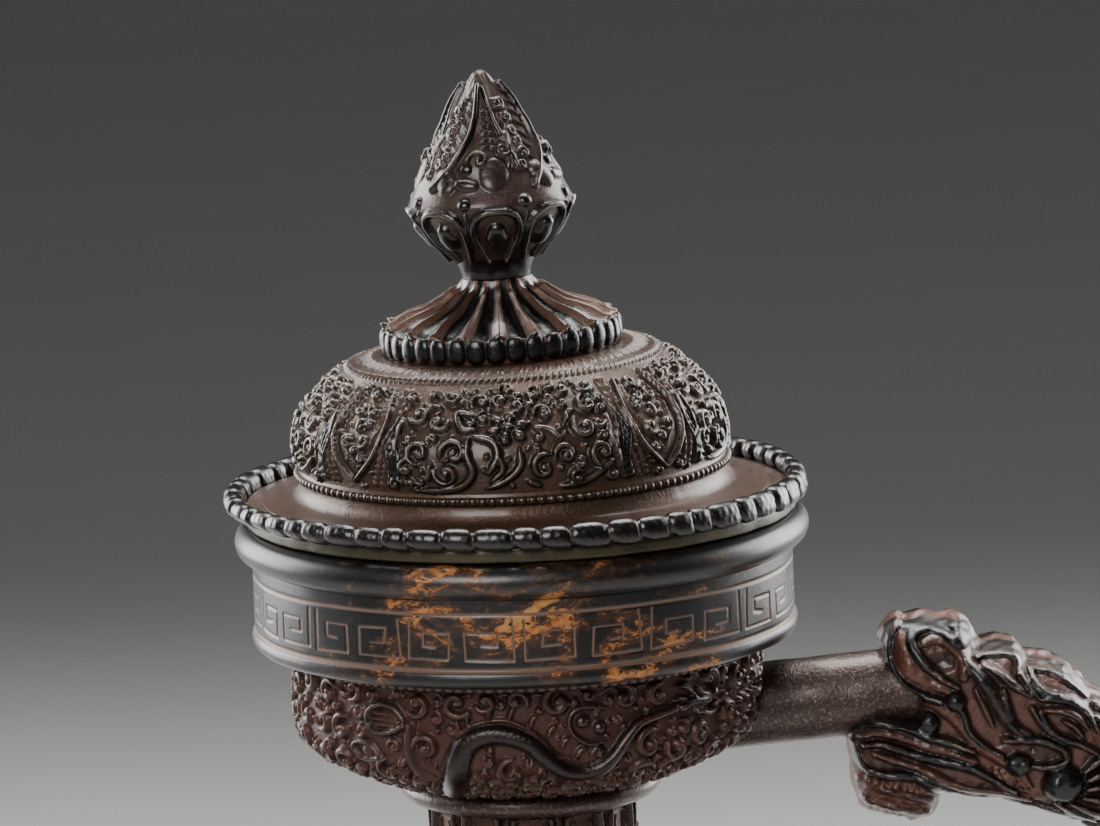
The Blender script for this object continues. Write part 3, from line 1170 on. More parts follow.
    def dragon_face(self, bulb: Turned, turn: float) -> None:
        """Presses the head that ends the winding body, with its eye, jaws and horns."""
        face = bulb.pen(-44.5 + turn, 204.2)
        bulb.relief.press([face.drop(2.3, 1.9, 1.2, 0.45, Section.SOFT), face.stroke([(-3.6, 0.2),
            (-1.2, 0.9), (1.6, 0.6), (3.4, 1.4)], 0.8, 1.4, 0.5), face.stroke([(0.2, -0.9), (2.0, -1.6),
            (3.6, -1.2), (4.2, -0.2)], 0.45, 1.2, 0.4), face.stroke([(-0.6, 1.4), (-2.6, 3.2),
            (-4.6, 3.6)], 0.4, 1.1, 0.6, (1, 0.1)), face.stroke([(-1.6, 0.8), (-3.8, 1.6), (-5.6, 1.2)],
            0.34, 0.9, 0.6, (1, 0.1)), *face.curl(1.5, 150, 330, 0.42, 1.3, 0.75, pearl=0.62),])

    def clouds(self, bulb: Turned, turn: float) -> None:
        """Presses the clouds and curls round the dragon."""
        curls = ((-117.1, 207.2, 1.5, 210, 330, 0), (-107.1, 207.7, 1.7, 330, -330, 0),
            (-99.9, 208.0, 1.2, 200, 320, 1), (-92.5, 208.2, 1.3, 330, 320, 0),
            (-82.7, 207.7, 1.8, 80, 330, 0), (-66.2, 207.4, 1.5, 110, -330, 1),
            (-40.3, 207.6, 2.1, 200, 340, 0), (-27.6, 206.3, 1.5, 90, 320, 0),
            (-32.4, 201.5, 1.5, 200, -320, 1), (-59.8, 199.6, 1.8, 60, 330, 0),
            (-51.3, 198.4, 1.6, 150, 330, 0), (-43.9, 199.4, 1.4, 60, 320, 0),
            (-60.8, 195.6, 1.7, 0, 340, 1), (-53.0, 195.6, 1.2, 90, 320, 0),
            (-115.2, 200.6, 1.6, 180, -330, 1), (-94.4, 196.9, 1.7, 80, 330, 0),
            (-89.6, 193.6, 1.0, 0, 320, 0), (-97.6, 193.2, 1.1, 180, 320, 0),
            (-104.0, 195.6, 1.0, 90, -300, 0), (-141.3, 202.0, 1.6, 60, 320, 0),
            (-146.2, 207.2, 1.6, 20, 320, 1), (-149.2, 202.4, 1.5, 180, 320, 0),
            (-136.3, 208.4, 1.3, 240, 320, 0), (-156.0, 208.0, 1.3, 60, -320, 0),
            (-158.2, 202.6, 1.4, 120, 320, 1), (-38.4, 196.6, 1.4, 30, 320, 0),
            (-69.6, 193.4, 1.2, 90, 320, 0), (-77.6, 193.2, 1.1, 200, -320, 0),
            (-127.5, 196.4, 1.5, 90, 320, 0), (-120.6, 194.4, 1.1, 0, 320, 0),
            (-165.5, 206.0, 1.6, 0, 330, 0), (-171.5, 202.0, 1.5, 90, 330, 1),
            (-176.5, 207.6, 1.3, 190, -320, 0), (-142.5, 196.8, 1.5, 30, 330, 0),
            (-151.0, 197.4, 1.4, 200, 330, 0), (-163.0, 198.6, 1.6, 60, -330, 1),
            (-174.5, 197.0, 1.4, 120, 330, 0), (-19.5, 207.4, 1.4, 100, 320, 1),
            (-12.0, 203.6, 1.7, 200, 330, 0), (-22.5, 202.0, 1.4, 40, -320, 0),
            (-5.0, 207.2, 1.4, 60, 320, 0), (-28.5, 197.0, 1.5, 160, 330, 0),
            (-16.0, 198.0, 1.6, 90, 320, 1), (-4.5, 199.0, 1.5, 0, 330, 0),)
        for angle, height, size, start, wind, pearled in curls:
            pen = bulb.pen(angle + turn, height)
            bulb.relief.press(pen.curl(size * 1.34, start, wind, 0.3 + 0.24 * size, 1.05, 0.25,
                pearl=0.5 * size if pearled else 0.36 * size))
        frame_line = [(-71.4, 201.2), (-75.4, 200.9), (-79.2, 202.6), (-80.2, 204.8), (-77.6, 206.5),
            (-70.7, 206.3)]
        bulb.draw(frame_line, 0.36, 0.9, 0.5, turn=turn)
        for angle, height, size in ((-76.9, 204.4, 1.1), (-72.7, 203.2, 1.1), (-120.6, 208.6, 0.6),
                (-87.2, 206.6, 0.7), (-63.4, 205.6, 0.5), (-47.6, 208.6, 0.7), (-103.6, 209.2, 0.5),
                (-111.6, 203.4, 0.5), (-90.6, 195.2, 0.6)):
            bulb.relief.press([bulb.pen(angle + turn, height).drop(size, size, 1.1, 0.55)])
        plaque = bulb.pen(-126.4 + turn, 204.4)
        bulb.relief.press([plaque.stroke([(3.4, 0.4), (1.8, 2.0), (-0.6, 2.4), (-3.0, 1.2), (-3.4, -0.8),
            (-1.6, -2.0), (1.0, -1.8), (3.4, -0.6)], 0.55, 1.0, 0.5), plaque.stroke([(-2.2, 0.8),
            (0, 0.9), (2.2, 0.4)], 0.3, 0.6, 0.1), plaque.stroke([(-2.4, 0), (0, 0), (2.4, -0.3)], 0.3,
            0.6, 0.1), plaque.stroke([(-2.0, -0.9), (0, -0.9), (1.6, -0.9)], 0.3, 0.6, 0.1)])
        leaf = bulb.pen(-133.0 + turn, 199.0, -12)
        bulb.relief.press([leaf.stroke([(2.6, 0), (0.6, 1.4), (-2.2, 0.9), (-2.8, -0.4), (-0.6, -1.3),
            (2.4, -0.3)], 0.42, 0.85, 0.4), leaf.drop(0.5, 1.1, 0.6, 0.2)])
        for step in range(26):
            angle = -176 + step * 6.9 + (step * 5 % 3)
            height = 193.8 + (step * 7 % 5) * 0.5
            pen = bulb.pen(angle + turn, height, 20 + (step * 37 % 50))
            bulb.relief.press([pen.stroke([(-1.2, -0.4), (0.2, 0.35), (1.5, 0.1)], 0.4, 0.7, 0.3,
                (0.4, 0.1))])
        for step in range(22):
            angle = -178 + step * 8.3
            pen = bulb.pen(angle + turn, 209.3 - (step % 3) * 0.35, (step * 53 % 70) - 35)
            bulb.relief.press([pen.stroke([(-1.3, 0), (0, 0.3), (1.3, -0.1)], 0.32, 0.6, 0.25,
                (0.3, 0.2))])

    def neck_rings(self) -> None:
        """Makes the rings at both ends of the neck."""
        for name, node, low, high in (("neck_ring_top", "neck_ring_upper", 185.6, 189.2),
                ("neck_ring_foot", "neck_ring_lower", 137.6, 141.2)):
            middle = (low + high) / 2
            nose = arc((18.85, middle), 1.78, -75, 75, 10)
            ring = Turned(name, [(15.65, low + 0.02), *nose, (15.65, high - 0.02)], [(15.65, middle)],
                260)
            ring.relief.roughen(0.05, 5, 45)
            self.shop.settle(ring.make(self.shop), SPECKLED, node, "dark_bronze")

    def neck(self) -> None:
        """Makes the neck with its two tiers of long petals."""
        neck = Turned("neck_petals", [(15.55, 137.62), (15.6, 138.6), (15.6, 188.2), (15.55, 189.18)],
            [(13.42, 189.18), (13.42, 137.62)], 560, 0.24)
        for petal in range(self.neck_petals):
            angle = FRONT + petal * 360 / self.neck_petals
            for side in (-1, 1):
                rim = [(angle + side * 10.5, 184.6), (angle + side * 13.6, 176), (angle + side * 13, 166),
                    (angle + side * 9, 157.5), (angle, 151.2)]
                neck.draw(rim, (0.55, 0.62, 0.62, 0.55, 0.4), 1.1, 0.7)
                vein = [(angle + side * 5.5, 183.5), (angle + side * 7, 170), (angle, 157.5)]
                neck.draw(vein, 0.26, 0.55, 0.4)
                lower = [(angle + side * 14.6, 160), (angle + side * 12.5, 152), (angle + side * 8, 146),
                    (angle, 142.4)]
                neck.draw([(a + 15, z) for a, z in lower], 0.42, 0.8, 0.5)
            neck.relief.press([neck.pen(angle, 176).drop(5.2, 1.15, 1.15, 0.5, Section.SOFT),
                neck.pen(angle, 163.6).drop(2.2, 0.8, 0.9, 0.5, Section.SOFT)])
            bud = neck.pen(angle + 15, 149.8)
            neck.relief.press([bud.drop(2.6, 1.0, 0.9, 0.5, Section.SOFT)])
        neck.beads(186.0 - 1.4, 66, 0.6, 0.45, 0.4, 0.5)
        neck.relief.roughen(0.05, 4, 46)
        self.shop.settle(neck.make(self.shop), RED_BROWN, "neck")


# The belly and the foot.


@dataclass
class Belly:
    """The shoulder lotus, the belly's halves, the band between them and the foot."""

    shop: Workshop
    lotus: int = 16
    upper_petals: int = 24
    lower_petals: int = 20
    foot_petals: int = 16
    scrolls: int = 12
    scroll_reach: float = 4.3
    band_keys: int = 90
    boss_rise: float = 0.8

    def build(self) -> None:
        """Makes every piece from the shoulder down to the base plate."""
        self.shoulder()
        self.upper()
        self.lower()
        self.band()
        self.stem_and_foot()

    def petal(self, piece: Turned, angle: float, tip: float, root: float, half: float, up: float = 1.0,
            rise: float = 0.0) -> None:
        """Presses one lotus petal with a rolled rim, from its root to its tip."""
        long = tip - root
        for side in (-1, 1):
            rim = [(angle + side * half * 0.72, root), (angle + side * half, root + long * 0.38),
                (angle + side * half * 0.8, root + long * 0.72), (angle + side * half * 0.3,
                root + long * 0.93), (angle, tip)]
            piece.draw(rim, (0.55, 0.8, 0.85, 0.7, 0.4), up, 0.9)
            inner = [(angle + side * half * 0.4, root + long * 0.08), (angle + side * half * 0.58,
                root + long * 0.4), (angle + side * half * 0.42, root + long * 0.66),
                (angle, root + long * 0.82)]
            piece.draw(inner, 0.38, up * 0.55, 0.35)
        heart = piece.pen(angle, root + long * 0.42)
        tall = abs(piece.along(root + long * 0.62) - piece.along(root + long * 0.2)) / 2
        piece.relief.press([heart.drop(max(tall, 0.8), 1.05, up, 0.8, Section.SOFT)])
        if rise:
            far = abs(piece.along(tip) - piece.along(root)) / 2
            wide = math.radians(half) * piece.radius_at(heart.along)
            piece.relief.swell(piece.pen(angle, (root + tip) / 2), far, wide, rise)

    def shoulder(self) -> None:
        """Makes the ring of lotus petals on the shoulder."""
        side = curve((45.0, 131.05), (45.2, 132.4), (42.5, 133.9), (37, 135.2), (30, 136.4), (24, 137.3),
            (20.4, 137.58))
        lotus = Turned("shoulder_lotus_petals", [(44.8, 131.02), *side, (15.7, 137.58)],
            [(15.66, 137.5), (15.66, 135.1), (20, 135.05)], 700, 0.24)
        for petal in range(self.lotus):
            angle = FRONT + petal * 360 / self.lotus
            for side_sign in (-1, 1):
                rim = [(angle + side_sign * 3.2, 137.4), (angle + side_sign * 7.6, 136.0),
                    (angle + side_sign * 10.3, 134.4), (angle + side_sign * 6.4, 132.9), (angle, 132.0)]
                lotus.draw(rim, (0.45, 0.7, 0.8, 0.75, 0.5), 1.05, 0.75)
                inner = [(angle + side_sign * 3.0, 136.7), (angle + side_sign * 5.6, 135.2),
                    (angle, 133.2)]
                lotus.draw(inner, 0.36, 0.6, 0.35)
            lotus.relief.press([lotus.pen(angle, 135.4).drop(3.0, 1.3, 1.1, 0.5, Section.SOFT)])
        lotus.relief.roughen(0.05, 4, 51)
        self.shop.settle(lotus.make(self.shop), RED_BROWN, "shoulder_lotus")

    def flower(self, piece: Turned, angle: float, height: float, reach: float) -> None:
        """Presses one round flower of two rings of petals."""
        middle = piece.pen(angle, height)
        for count, out, long, wide in ((8, 0.70, 0.30, 0.27), (5, 0.34, 0.2, 0.18)):
            for petal in range(count):
                lean = petal * TURN / count
                far = reach * out
                spot = middle.put(np.array([[far * math.cos(lean), far * math.sin(lean)]]))[0]
                boss = Pen(spot[0], spot[1], middle.radius, lean - math.pi / 2)
                piece.relief.press([boss.drop(reach * long, reach * wide, 1.1 - out * 0.4, 0.75,
                    Section.SOFT)])
        piece.relief.press([middle.drop(reach * 0.16, reach * 0.16, 1.2, 0.9)])

    def scroll_band(self, piece: Turned, height: float) -> None:
        """Presses a running vine whose flowers and round curls stand on the belly's bosses."""
        count, reach = self.scrolls, self.scroll_reach
        step = 360 / count
        for unit in range(count):
            angle = FRONT + unit * step
            side = 1 if unit % 2 else -1
            self.flower(piece, angle, height, reach)
            heart = piece.pen(angle + step / 2, height, 90 * side)
            piece.relief.press(heart.curl(reach * 0.95, 0, 430 * side, 0.62, 1.05, 0.75, pearl=1.0))
            over = reach * 1.32 * side
            vine = [(angle - step / 2, height - over * 0.9), (angle - step / 4, height - over * 0.1),
                (angle, height + over), (angle + step / 4, height + over * 0.1),
                (angle + step / 2, height - over * 0.9)]
            piece.draw(vine, 0.6, 0.95, 0.7, tip=(1, 1))
            for lean, near in ((35, 0.36), (-35, 0.64)):
                leaf = piece.pen(angle + near * step, height + over * (0.8 if near < 0.5 else -0.8),
                    lean * side)
                piece.relief.press([leaf.stroke([(-2.4, -0.8), (0, 0.6), (2.6, 0.2)], 0.85, 1.0, 0.6,
                    (0.5, 0.1))])
        rows = [piece.along(height + sign * reach * 1.72) for sign in (-1, 1)]
        piece.relief.fill(min(rows), max(rows), (1.7, 1.3, 1.0, 0.75, 0.55), 0.85, 0.5, count)
        for unit in range(2 * count):
            piece.relief.swell(piece.pen(FRONT + unit * step / 2, height), reach, reach, self.boss_rise)

    def upper(self) -> None:
        """Makes the belly's upper half."""
        side = [(66.0, 97.05), *arc((28, 97), 38, 0, 89, 46)]
        upper = Turned("belly_upper_relief", [(63.9, 97.03), *side, (15.7, 134.98)],
            [(15.66, 134.9), (15.66, 132.85), *arc((28, 97), 35.9, 89, 0, 20)], 830, 0.3)
        self.scroll_band(upper, 111.9)
        for petal in range(self.upper_petals):
            self.petal(upper, FRONT + petal * 360 / self.upper_petals, 121.6, 129.9, 6.1, 0.6,
                self.boss_rise)
        upper.cord(120.4, 0.5, 0.6)
        upper.cord(103.2, 0.5, 0.6)
        upper.relief.roughen(0.06, 6, 52)
        self.shop.settle(upper.make(self.shop), RED_BROWN, "belly_upper")

    def lower(self) -> None:
        """Makes the belly's lower half."""
        side = arc((20, 97), 46, -89, 0, 56)
        lower = Turned("belly_lower_relief", [(15.7, 51.02), *side, (66, 96.97)],
            [(63.9, 96.97), *arc((20, 97), 43.9, 0, -89, 24), (15.66, 53.1)], 830, 0.3)
        self.scroll_band(lower, 81.8)
        for petal in range(self.lower_petals):
            self.petal(lower, FRONT + petal * 360 / self.lower_petals, 71.6, 57.0, 7.6, 0.65,
                self.boss_rise)
        lower.cord(73.2, 0.5, 0.6)
        lower.cord(91.0, 0.5, 0.6)
        lower.relief.roughen(0.06, 6, 53)
        self.shop.settle(lower.make(self.shop), RED_BROWN, "belly_lower")

    def band(self) -> None:
        """Makes the band round the belly with its cut keys and its beads."""
        edge = [(66.06, 94.42), (67.5, 94.42), (67.85, 94.8), (67.85, 99.2), (67.5, 99.58),
            (66.06, 99.58)]
        band = Turned("belly_key_band", edge, [(66.06, 97)], 1500, 0.2)
        for height in (95.4, 98.6):
            band.scribe(height, 0.14, 0.15, 67.85)
        band.beads(94.9, 250, 0.55, 0.3, 0.22, 0.5, near=67.9)
        band.beads(99.1, 250, 0.55, 0.3, 0.22, 0.5, near=67.9)
        hook = [(0.1, 1.0), (0.1, 0.0), (0.86, 0.0), (0.86, 0.7), (0.4, 0.7), (0.4, 0.35)]
        step = 360 / self.band_keys
        for unit in range(self.band_keys):
            known = [(1 - x if unit % 2 else x, y) for x, y in hook]
            points = [((unit + x) * step, 95.85 + y * 2.3) for x, y in known]
            for first, last in zip(points, points[1:]):
                line = np.array([[math.radians(a), band.along(z, 67.85)] for a, z in (first, last)])
                band.relief.engrave([Stroke(line, np.full(2, 0.13), 0.13)])
        self.shop.settle(band.make(self.shop), GILT, "belly_band", "worn_gilt_bronze")

    def stem_and_foot(self) -> None:
        """Makes the stem's ring, the flared foot, its rim and dresses the base plate."""
        nose = arc((22.0, 46), 3.0, -80, 80, 14)
        ring = Turned("stem_knot", [(18.1, 43.02), *nose, (18.1, 48.98)], [(18.1, 46)], 420, 0.24)
        ring.beads(46, 40, 1.25, 1.1, 0.55, 0.6)
        ring.relief.roughen(0.05, 4, 54)
        self.shop.settle(ring.make(self.shop), DARK, "stem_ring", "dark_bronze")
        flare = curve((44.0, 7.75), (42.4, 10.2), (37.4, 15.8), (30.8, 22.2), (25.0, 28.6), (20.8, 34.8),
            (18.2, 40.6), (18.0, 42.8))
        foot = Turned("foot_lotus", [(40.4, 5.55), (43.6, 5.55), (44.0, 6.6), *flare, (18.0, 50.98)],
            [(15.85, 50.98), (15.85, 41), (18.8, 34), (23, 27.5), (29, 21), (35.6, 14.6), (40.4, 8.6)],
            640, 0.28)
        step = 360 / self.foot_petals
        for petal in range(self.foot_petals):
            angle = FRONT + petal * step
            self.petal(foot, angle, 10.6, 27.5, 9.4, 1.15)
            self.petal(foot, angle + step / 2, 25.6, 38.8, 8.6, 0.95)
        foot.relief.roughen(0.06, 6, 55)
        self.shop.settle(foot.make(self.shop), RED_BROWN, "foot")
        nose = arc((44.0, 2.75), 2.5, -85, 85, 12)
        rim = Turned("foot_bead_rim", [(41.1, 0.02), (44, 0.05), *nose, (44.2, 5.48), (41.1, 5.48)],
            [(41.1, 2.7)], 900, 0.24)
        rim.beads(2.75, 88, 1.15, 1.0, 0.3, 0.6, near=46.5)
        rim.relief.roughen(0.04, 5, 56)
        self.shop.settle(rim.make(self.shop), DARK, "foot_rim", "dark_bronze")
        plate = Turned("base_plate_disc", [(0.05, 0.02), (20, 0.02), (40.6, 0.02), (40.98, 0.4),
            (40.98, 1.58)], [(0.05, 1.58)], 300, 0.5)
        plate.relief.roughen(0.02, 12, 57)
        self.shop.settle(plate.make(self.shop, closed=False), BARE, "base_plate", "bare_brass")


# Bars along a line.


@dataclass
class Bar:
    """A round bar along a curved line in the plane of X and Z, with relief on its skin.

    Round the bar, an angle of 0 points to the outer side of the curve, 90 to the front.
    """

    name: str
    stations: list[tuple[float, float, float]]
    around: int = 200
    gap: float = 0.28
    bore: float = 0.0
    relief: Relief = field(init=False)
    path: np.ndarray = field(init=False)

    def __post_init__(self) -> None:
        """Spaces the line evenly and lays the relief's grid on the bar."""
        raw = line_through(self.stations, 0.4)
        steps = np.hypot(np.diff(raw[:, 0]), np.diff(raw[:, 1]))
        far = np.insert(np.cumsum(steps), 0, 0)
        rows = np.linspace(0, far[-1], int(far[-1] / self.gap) + 2)
        self.path = np.column_stack([np.interp(rows, far, raw[:, part]) for part in range(3)])
        angles = np.arange(self.around) * TURN / self.around
        self.relief = Relief(angles, rows, self.path[:, 2])

    @property
    def length(self) -> float:
        """The length of the bar's line."""
        return float(self.relief.rows[-1])

    def pen(self, angle: float, along: float, mirrored: bool = False) -> Pen:
        """Returns a pen at an angle in degrees and a distance along the bar."""
        radius = float(np.interp(along, self.relief.rows, self.path[:, 2]))
        return Pen(math.radians(angle), along, radius, 0.0, mirrored)

    def line(self, points: Iterable[Point], wide: float | Sequence[float], height: float,
            ink: float = 0.5) -> Stroke:
        """Draws a stroke through (angle in degrees, distance along) points."""
        mean = float(self.path[:, 2].mean()) * math.radians(1)
        line = line_through([(angle * mean, along) for angle, along in points], 0.5)
        line[:, 0] = line[:, 0] / mean * math.radians(1)
        share = np.linspace(0, 1, len(line))
        known = [wide, wide] if isinstance(wide, (int, float)) else wide
        widths = np.interp(share, np.linspace(0, 1, len(known)), known)
        return Stroke(line, widths, height, ink)

    def draw(self, points: Iterable[Point], wide: float | Sequence[float], height: float,
            ink: float = 0.5) -> None:
        """Presses a stroke that is drawn as by line."""
        self.relief.press([self.line(points, wide, height, ink)])

    def band(self, along: float, wide: float, height: float, ink: float = 0.5) -> None:
        """Presses a ring round the bar."""
        rise = (self.relief.rows - along) / wide
        self.relief.lay((height * np.clip(1 - rise ** 2, 0, 1) ** 0.5)[None, :], ink)

    def points(self) -> np.ndarray:
        """Returns the raised points of the bar's skin."""
        ahead = np.gradient(self.path[:, :2], axis=0)
        ahead /= np.linalg.norm(ahead, axis=1)[:, None]
        out = np.column_stack([ahead[:, 1], -ahead[:, 0]])
        turn = self.relief.angles[:, None]
        reach = self.path[None, :, 2] + self.relief.height
        x = self.path[None, :, 0] + reach * np.cos(turn) * out[None, :, 0]
        z = self.path[None, :, 1] + reach * np.cos(turn) * out[None, :, 1]
        y = -reach * np.sin(turn)
        skin = np.stack([x, y, z], axis=-1)
        if not self.bore:
            return skin
        depth = (self.path[None, :, 2] - self.bore) * np.ones_like(turn)
        inner = np.stack([self.path[None, :, 0] + depth * np.cos(turn) * out[None, :, 0],
            -depth * np.sin(turn), self.path[None, :, 1] + depth * np.cos(turn) * out[None, :, 1]], -1)
        return np.concatenate([skin, inner[:, ::-6]], axis=1)

    def make(self, shop: Workshop) -> bpy.types.Object:
        """Makes the bar's mesh."""
        points, marks = self.points(), self.relief.marks()
        spare = points.shape[1] - marks["raised"].shape[1]
        marks = {key: np.pad(values, ((0, 0), (0, spare))) for key, values in marks.items()}
        marks["front"] = np.full(points.shape[:2], 0.5)
        return shop.skin(self.name, points[::-1], {k: v[::-1] for k, v in marks.items()},
            closed=bool(self.bore))


# The dragon's head.


def distance_to(line: np.ndarray, x: np.ndarray, z: np.ndarray) -> np.ndarray:
    """Returns how far each place is from a line of points."""
    nearest = np.full(x.shape, 99.0)
    for start, end in zip(line, line[1:]):
        run = end - start
        share = ((x - start[0]) * run[0] + (z - start[1]) * run[1]) / max(run @ run, 1e-9)
        share = np.clip(share, 0, 1)
        gap = np.hypot(x - start[0] - share * run[0], z - start[1] - share * run[1])
        nearest = np.minimum(nearest, gap)
    return nearest


def inside_of(line: np.ndarray, x: np.ndarray, z: np.ndarray) -> np.ndarray:
    """Tells which places a closed line holds."""
    odd = np.zeros(x.shape, bool)
    for (x0, z0), (x1, z1) in zip(line, np.roll(line, -1, axis=0)):
        crossed = (z0 > z) != (z1 > z)
        odd ^= crossed & (x < (x1 - x0) * (z - z0) / (z1 - z0 + 1e-12) + x0)
    return odd


@dataclass
class DragonHead:
    """The head that bites the bar: drawn in profile, swelled to both sides and remeshed."""

    shop: Workshop
    gap: float = 0.25
    round_edge: float = 5.0
    lip_edge: float = 1.3
    voxel: float = 0.29
    fullness: float = 1.4
    span_x: tuple[int, int] = (47, 106)
    span_z: tuple[int, int] = (172, 215)

    profile: tuple[Point, ...] = ((55.6, 206.2), (55.3, 208.2), (56.0, 210.3), (57.1, 211.7),
        (58.4, 212.3), (59.1, 211.6), (60.5, 211.8), (62.6, 212.1), (64.1, 211.6), (65.4, 211.7),
        (66.8, 212.2), (68.3, 211.6), (69.5, 210.0), (70.1, 208.2), (71.3, 207.4), (73.7, 207.8),
        (76.3, 207.4), (77.5, 206.4), (78.3, 205.1), (81.4, 204.6), (84.2, 203.6), (86.3, 201.6),
        (87.8, 199.9), (90.0, 198.6), (92.7, 196.2), (95.4, 193.0), (97.4, 189.9), (99.0, 187.6),
        (101.6, 185.6), (103.0, 182.8), (103.2, 179.6), (101.4, 176.6), (98.6, 174.6), (95.4, 174.4),
        (91.7, 176.0), (88.6, 177.5), (84.7, 178.3), (80.8, 179.6), (77.0, 181.0), (73.1, 182.3),
        (68.4, 182.8), (64.5, 183.5), (64.0, 181.5), (63.0, 179.8), (59.7, 178.9), (56.6, 179.7),
        (54.0, 180.7), (51.5, 181.5), (50.8, 183.6), (50.5, 186.8), (50.0, 190.0), (49.8, 193.2),
        (49.8, 194.5), (50.5, 195.8), (51.9, 196.7))
    notch: tuple[Point, ...] = ((54.7, 197.2), (57.8, 196.8), (59.9, 196.4), (60.6, 198.1), (60.4, 200.0),
        (58.7, 201.0), (57.2, 202.4), (56.1, 204.0))

    def build(self) -> None:
        """Makes the head."""
        rows = np.arange(*self.span_z, self.gap)
        self.relief = Relief(np.arange(*self.span_x, self.gap), rows, np.ones(len(rows)), False)
        self.jaws()
        self.cheek()
        self.mane()
        self.relief.roughen(0.16, 3.4, 61)
        self.relief.roughen(0.05, 1.1, 62)
        thick, signed = self.thickness()
        piece = self.shell(thick, signed)
        self.carve(piece, thick)
        self.shop.settle(piece, HEAD_BROWN, "dragon_head")

    def draw(self, points: Sequence[Point], wide: float | Sequence[float], height: float,
            ink: float = 0.5, section: Section = Section.ROUND) -> None:
        """Presses one stroke of the drawing."""
        line = line_through(points, 0.3)
        known = [wide, wide] if isinstance(wide, (int, float)) else wide
        widths = np.interp(np.linspace(0, 1, len(line)), np.linspace(0, 1, len(known)), known)
        self.relief.press([Stroke(line, widths * self.fullness, height * 1.25, ink, section)])

    def ball(self, x: float, z: float, long: float, wide: float, height: float) -> None:
        """Presses one dark boss of the drawing."""
        self.relief.press([Pen(x, z, 1.0, -math.pi / 2).drop(long, wide, height, 1.0)])

    def hollow(self, x: float, z: float, long: float, wide: float, depth: float) -> None:
        """Sinks one hollow into the drawing."""
        across = (self.relief.angles[:, None] - x) / long
        up = (self.relief.rows[None, :] - z) / wide
        sunk = depth * np.clip(1 - across ** 2 - up ** 2, 0, 1)
        self.relief.height -= sunk
        self.relief.cut = np.maximum(self.relief.cut, np.clip(sunk / depth * 1.5, 0, 1) * 0.6)

    def jaws(self) -> None:
        """Draws the lips, the curled nose and the rolls of the lower jaw."""
        self.draw([(58.6, 209.9), (58.4, 207.1), (59.4, 204.8), (61.8, 202.8), (65.3, 201.4)],
            (0.9, 1.4, 1.4, 1.2, 0.7), 0.8, 0.0, Section.SOFT)
        self.draw([(61.9, 208.7), (63.8, 209.4), (65.9, 208.9), (67.7, 207.2), (68.3, 205.4),
            (67.8, 203.5)], (0.5, 0.9, 0.9, 0.7), 1.0, 0.25)
        self.draw([(58.9, 210.9), (60.7, 211.4), (62.9, 211.5), (64.9, 211.2), (66.9, 211.0)],
            (0.5, 0.65, 0.6, 0.4), 1.1, 0.5)
        self.draw([(67.0, 201.8), (65.0, 202.9), (63.0, 204.4), (61.5, 206.0), (60.3, 208.0),
            (60.0, 209.4), (60.8, 210.5), (62.7, 210.9), (64.9, 210.2), (66.5, 209.0)],
            (0.35, 0.55, 0.65, 0.7, 0.65, 0.55), 1.5, 1.0)
        self.draw([(58.1, 211.5), (56.5, 209.7), (55.9, 207.3), (56.1, 205.3), (57.0, 203.3),
            (58.3, 202.0), (60.2, 201.0), (62.1, 200.3), (64.2, 199.7)], (0.45, 0.7, 0.85, 0.9, 0.85,
            0.75, 0.5), 1.7, 1.0)
        self.ball(68.1, 209.3, 2.2, 1.9, 2.4)
        self.hollow(65.0, 205.7, 2.4, 1.7, 1.0)
        self.draw([(59.8, 200.2), (62.6, 199.6), (64.9, 198.2), (66.9, 196.3), (69.0, 193.6),
            (71.7, 191.3), (74.2, 189.6)], (0.5, 0.8, 0.8, 0.8, 0.5), 1.1, 0.1)
        self.draw([(66.9, 199.0), (67.7, 197.5), (68.3, 195.2), (69.6, 193.6), (71.4, 192.1),
            (73.6, 190.9)], (0.6, 0.5, 0.45, 0.4, 0.25), 1.4, 0.9)
        self.ball(66.5, 199.6, 2.0, 1.8, 2.3)
        self.ball(62.0, 196.1, 2.3, 2.1, 2.3)
        self.draw([(50.1, 194.0), (50.7, 195.3), (52.1, 196.1), (54.1, 196.4), (56.3, 196.3),
            (58.3, 195.9), (60.3, 194.9), (62.4, 193.9), (64.9, 193.2), (67.1, 192.5), (69.1, 191.8)],
            (0.5, 0.75, 0.8, 0.7, 0.65, 0.6, 0.4), 1.7, 1.0)
        for points, wide, ink in (([(51.8, 194.1), (53.9, 194.7), (56.2, 194.6), (58.5, 193.9),
                (61.6, 192.6), (65.5, 191.5), (69.4, 190.0)], 0.62, 0.15),
                ([(52.2, 192.6), (54.6, 193.0), (56.9, 192.3), (60.0, 191.1), (63.9, 190.1),
                (67.8, 189.2), (70.9, 187.9), (73.2, 186.3), (75.5, 184.9)], 0.66, 0.8),
                ([(54.0, 191.4), (56.9, 190.3), (60.0, 189.2), (63.1, 187.6), (65.4, 186.2),
                (68.4, 185.2), (73.1, 184.4), (77.8, 183.3)], 0.6, 0.2), ([(50.7, 192.5), (51.2, 190.2),
                (52.6, 188.7), (55.3, 188.0), (58.4, 187.8), (61.0, 187.1), (63.0, 185.7), (64.8, 184.5),
                (68.6, 183.7), (73.2, 183.2), (77.2, 181.9), (82.4, 180.6), (87.9, 179.4)], 0.72, 0.9)):
            self.draw(points, (wide * 0.7, wide, wide, wide * 0.6), 1.3, ink)
        self.draw([(51.2, 186.6), (55.2, 185.5), (59.5, 184.4), (62.9, 183.0)], 0.45, 0.7, 0.5)
        self.draw([(51.6, 183.8), (55.1, 182.6), (59.0, 181.5), (62.3, 180.9)], 0.55, 0.9, 0.4)
        for step in range(9):
            x = 52.4 + step * 1.2
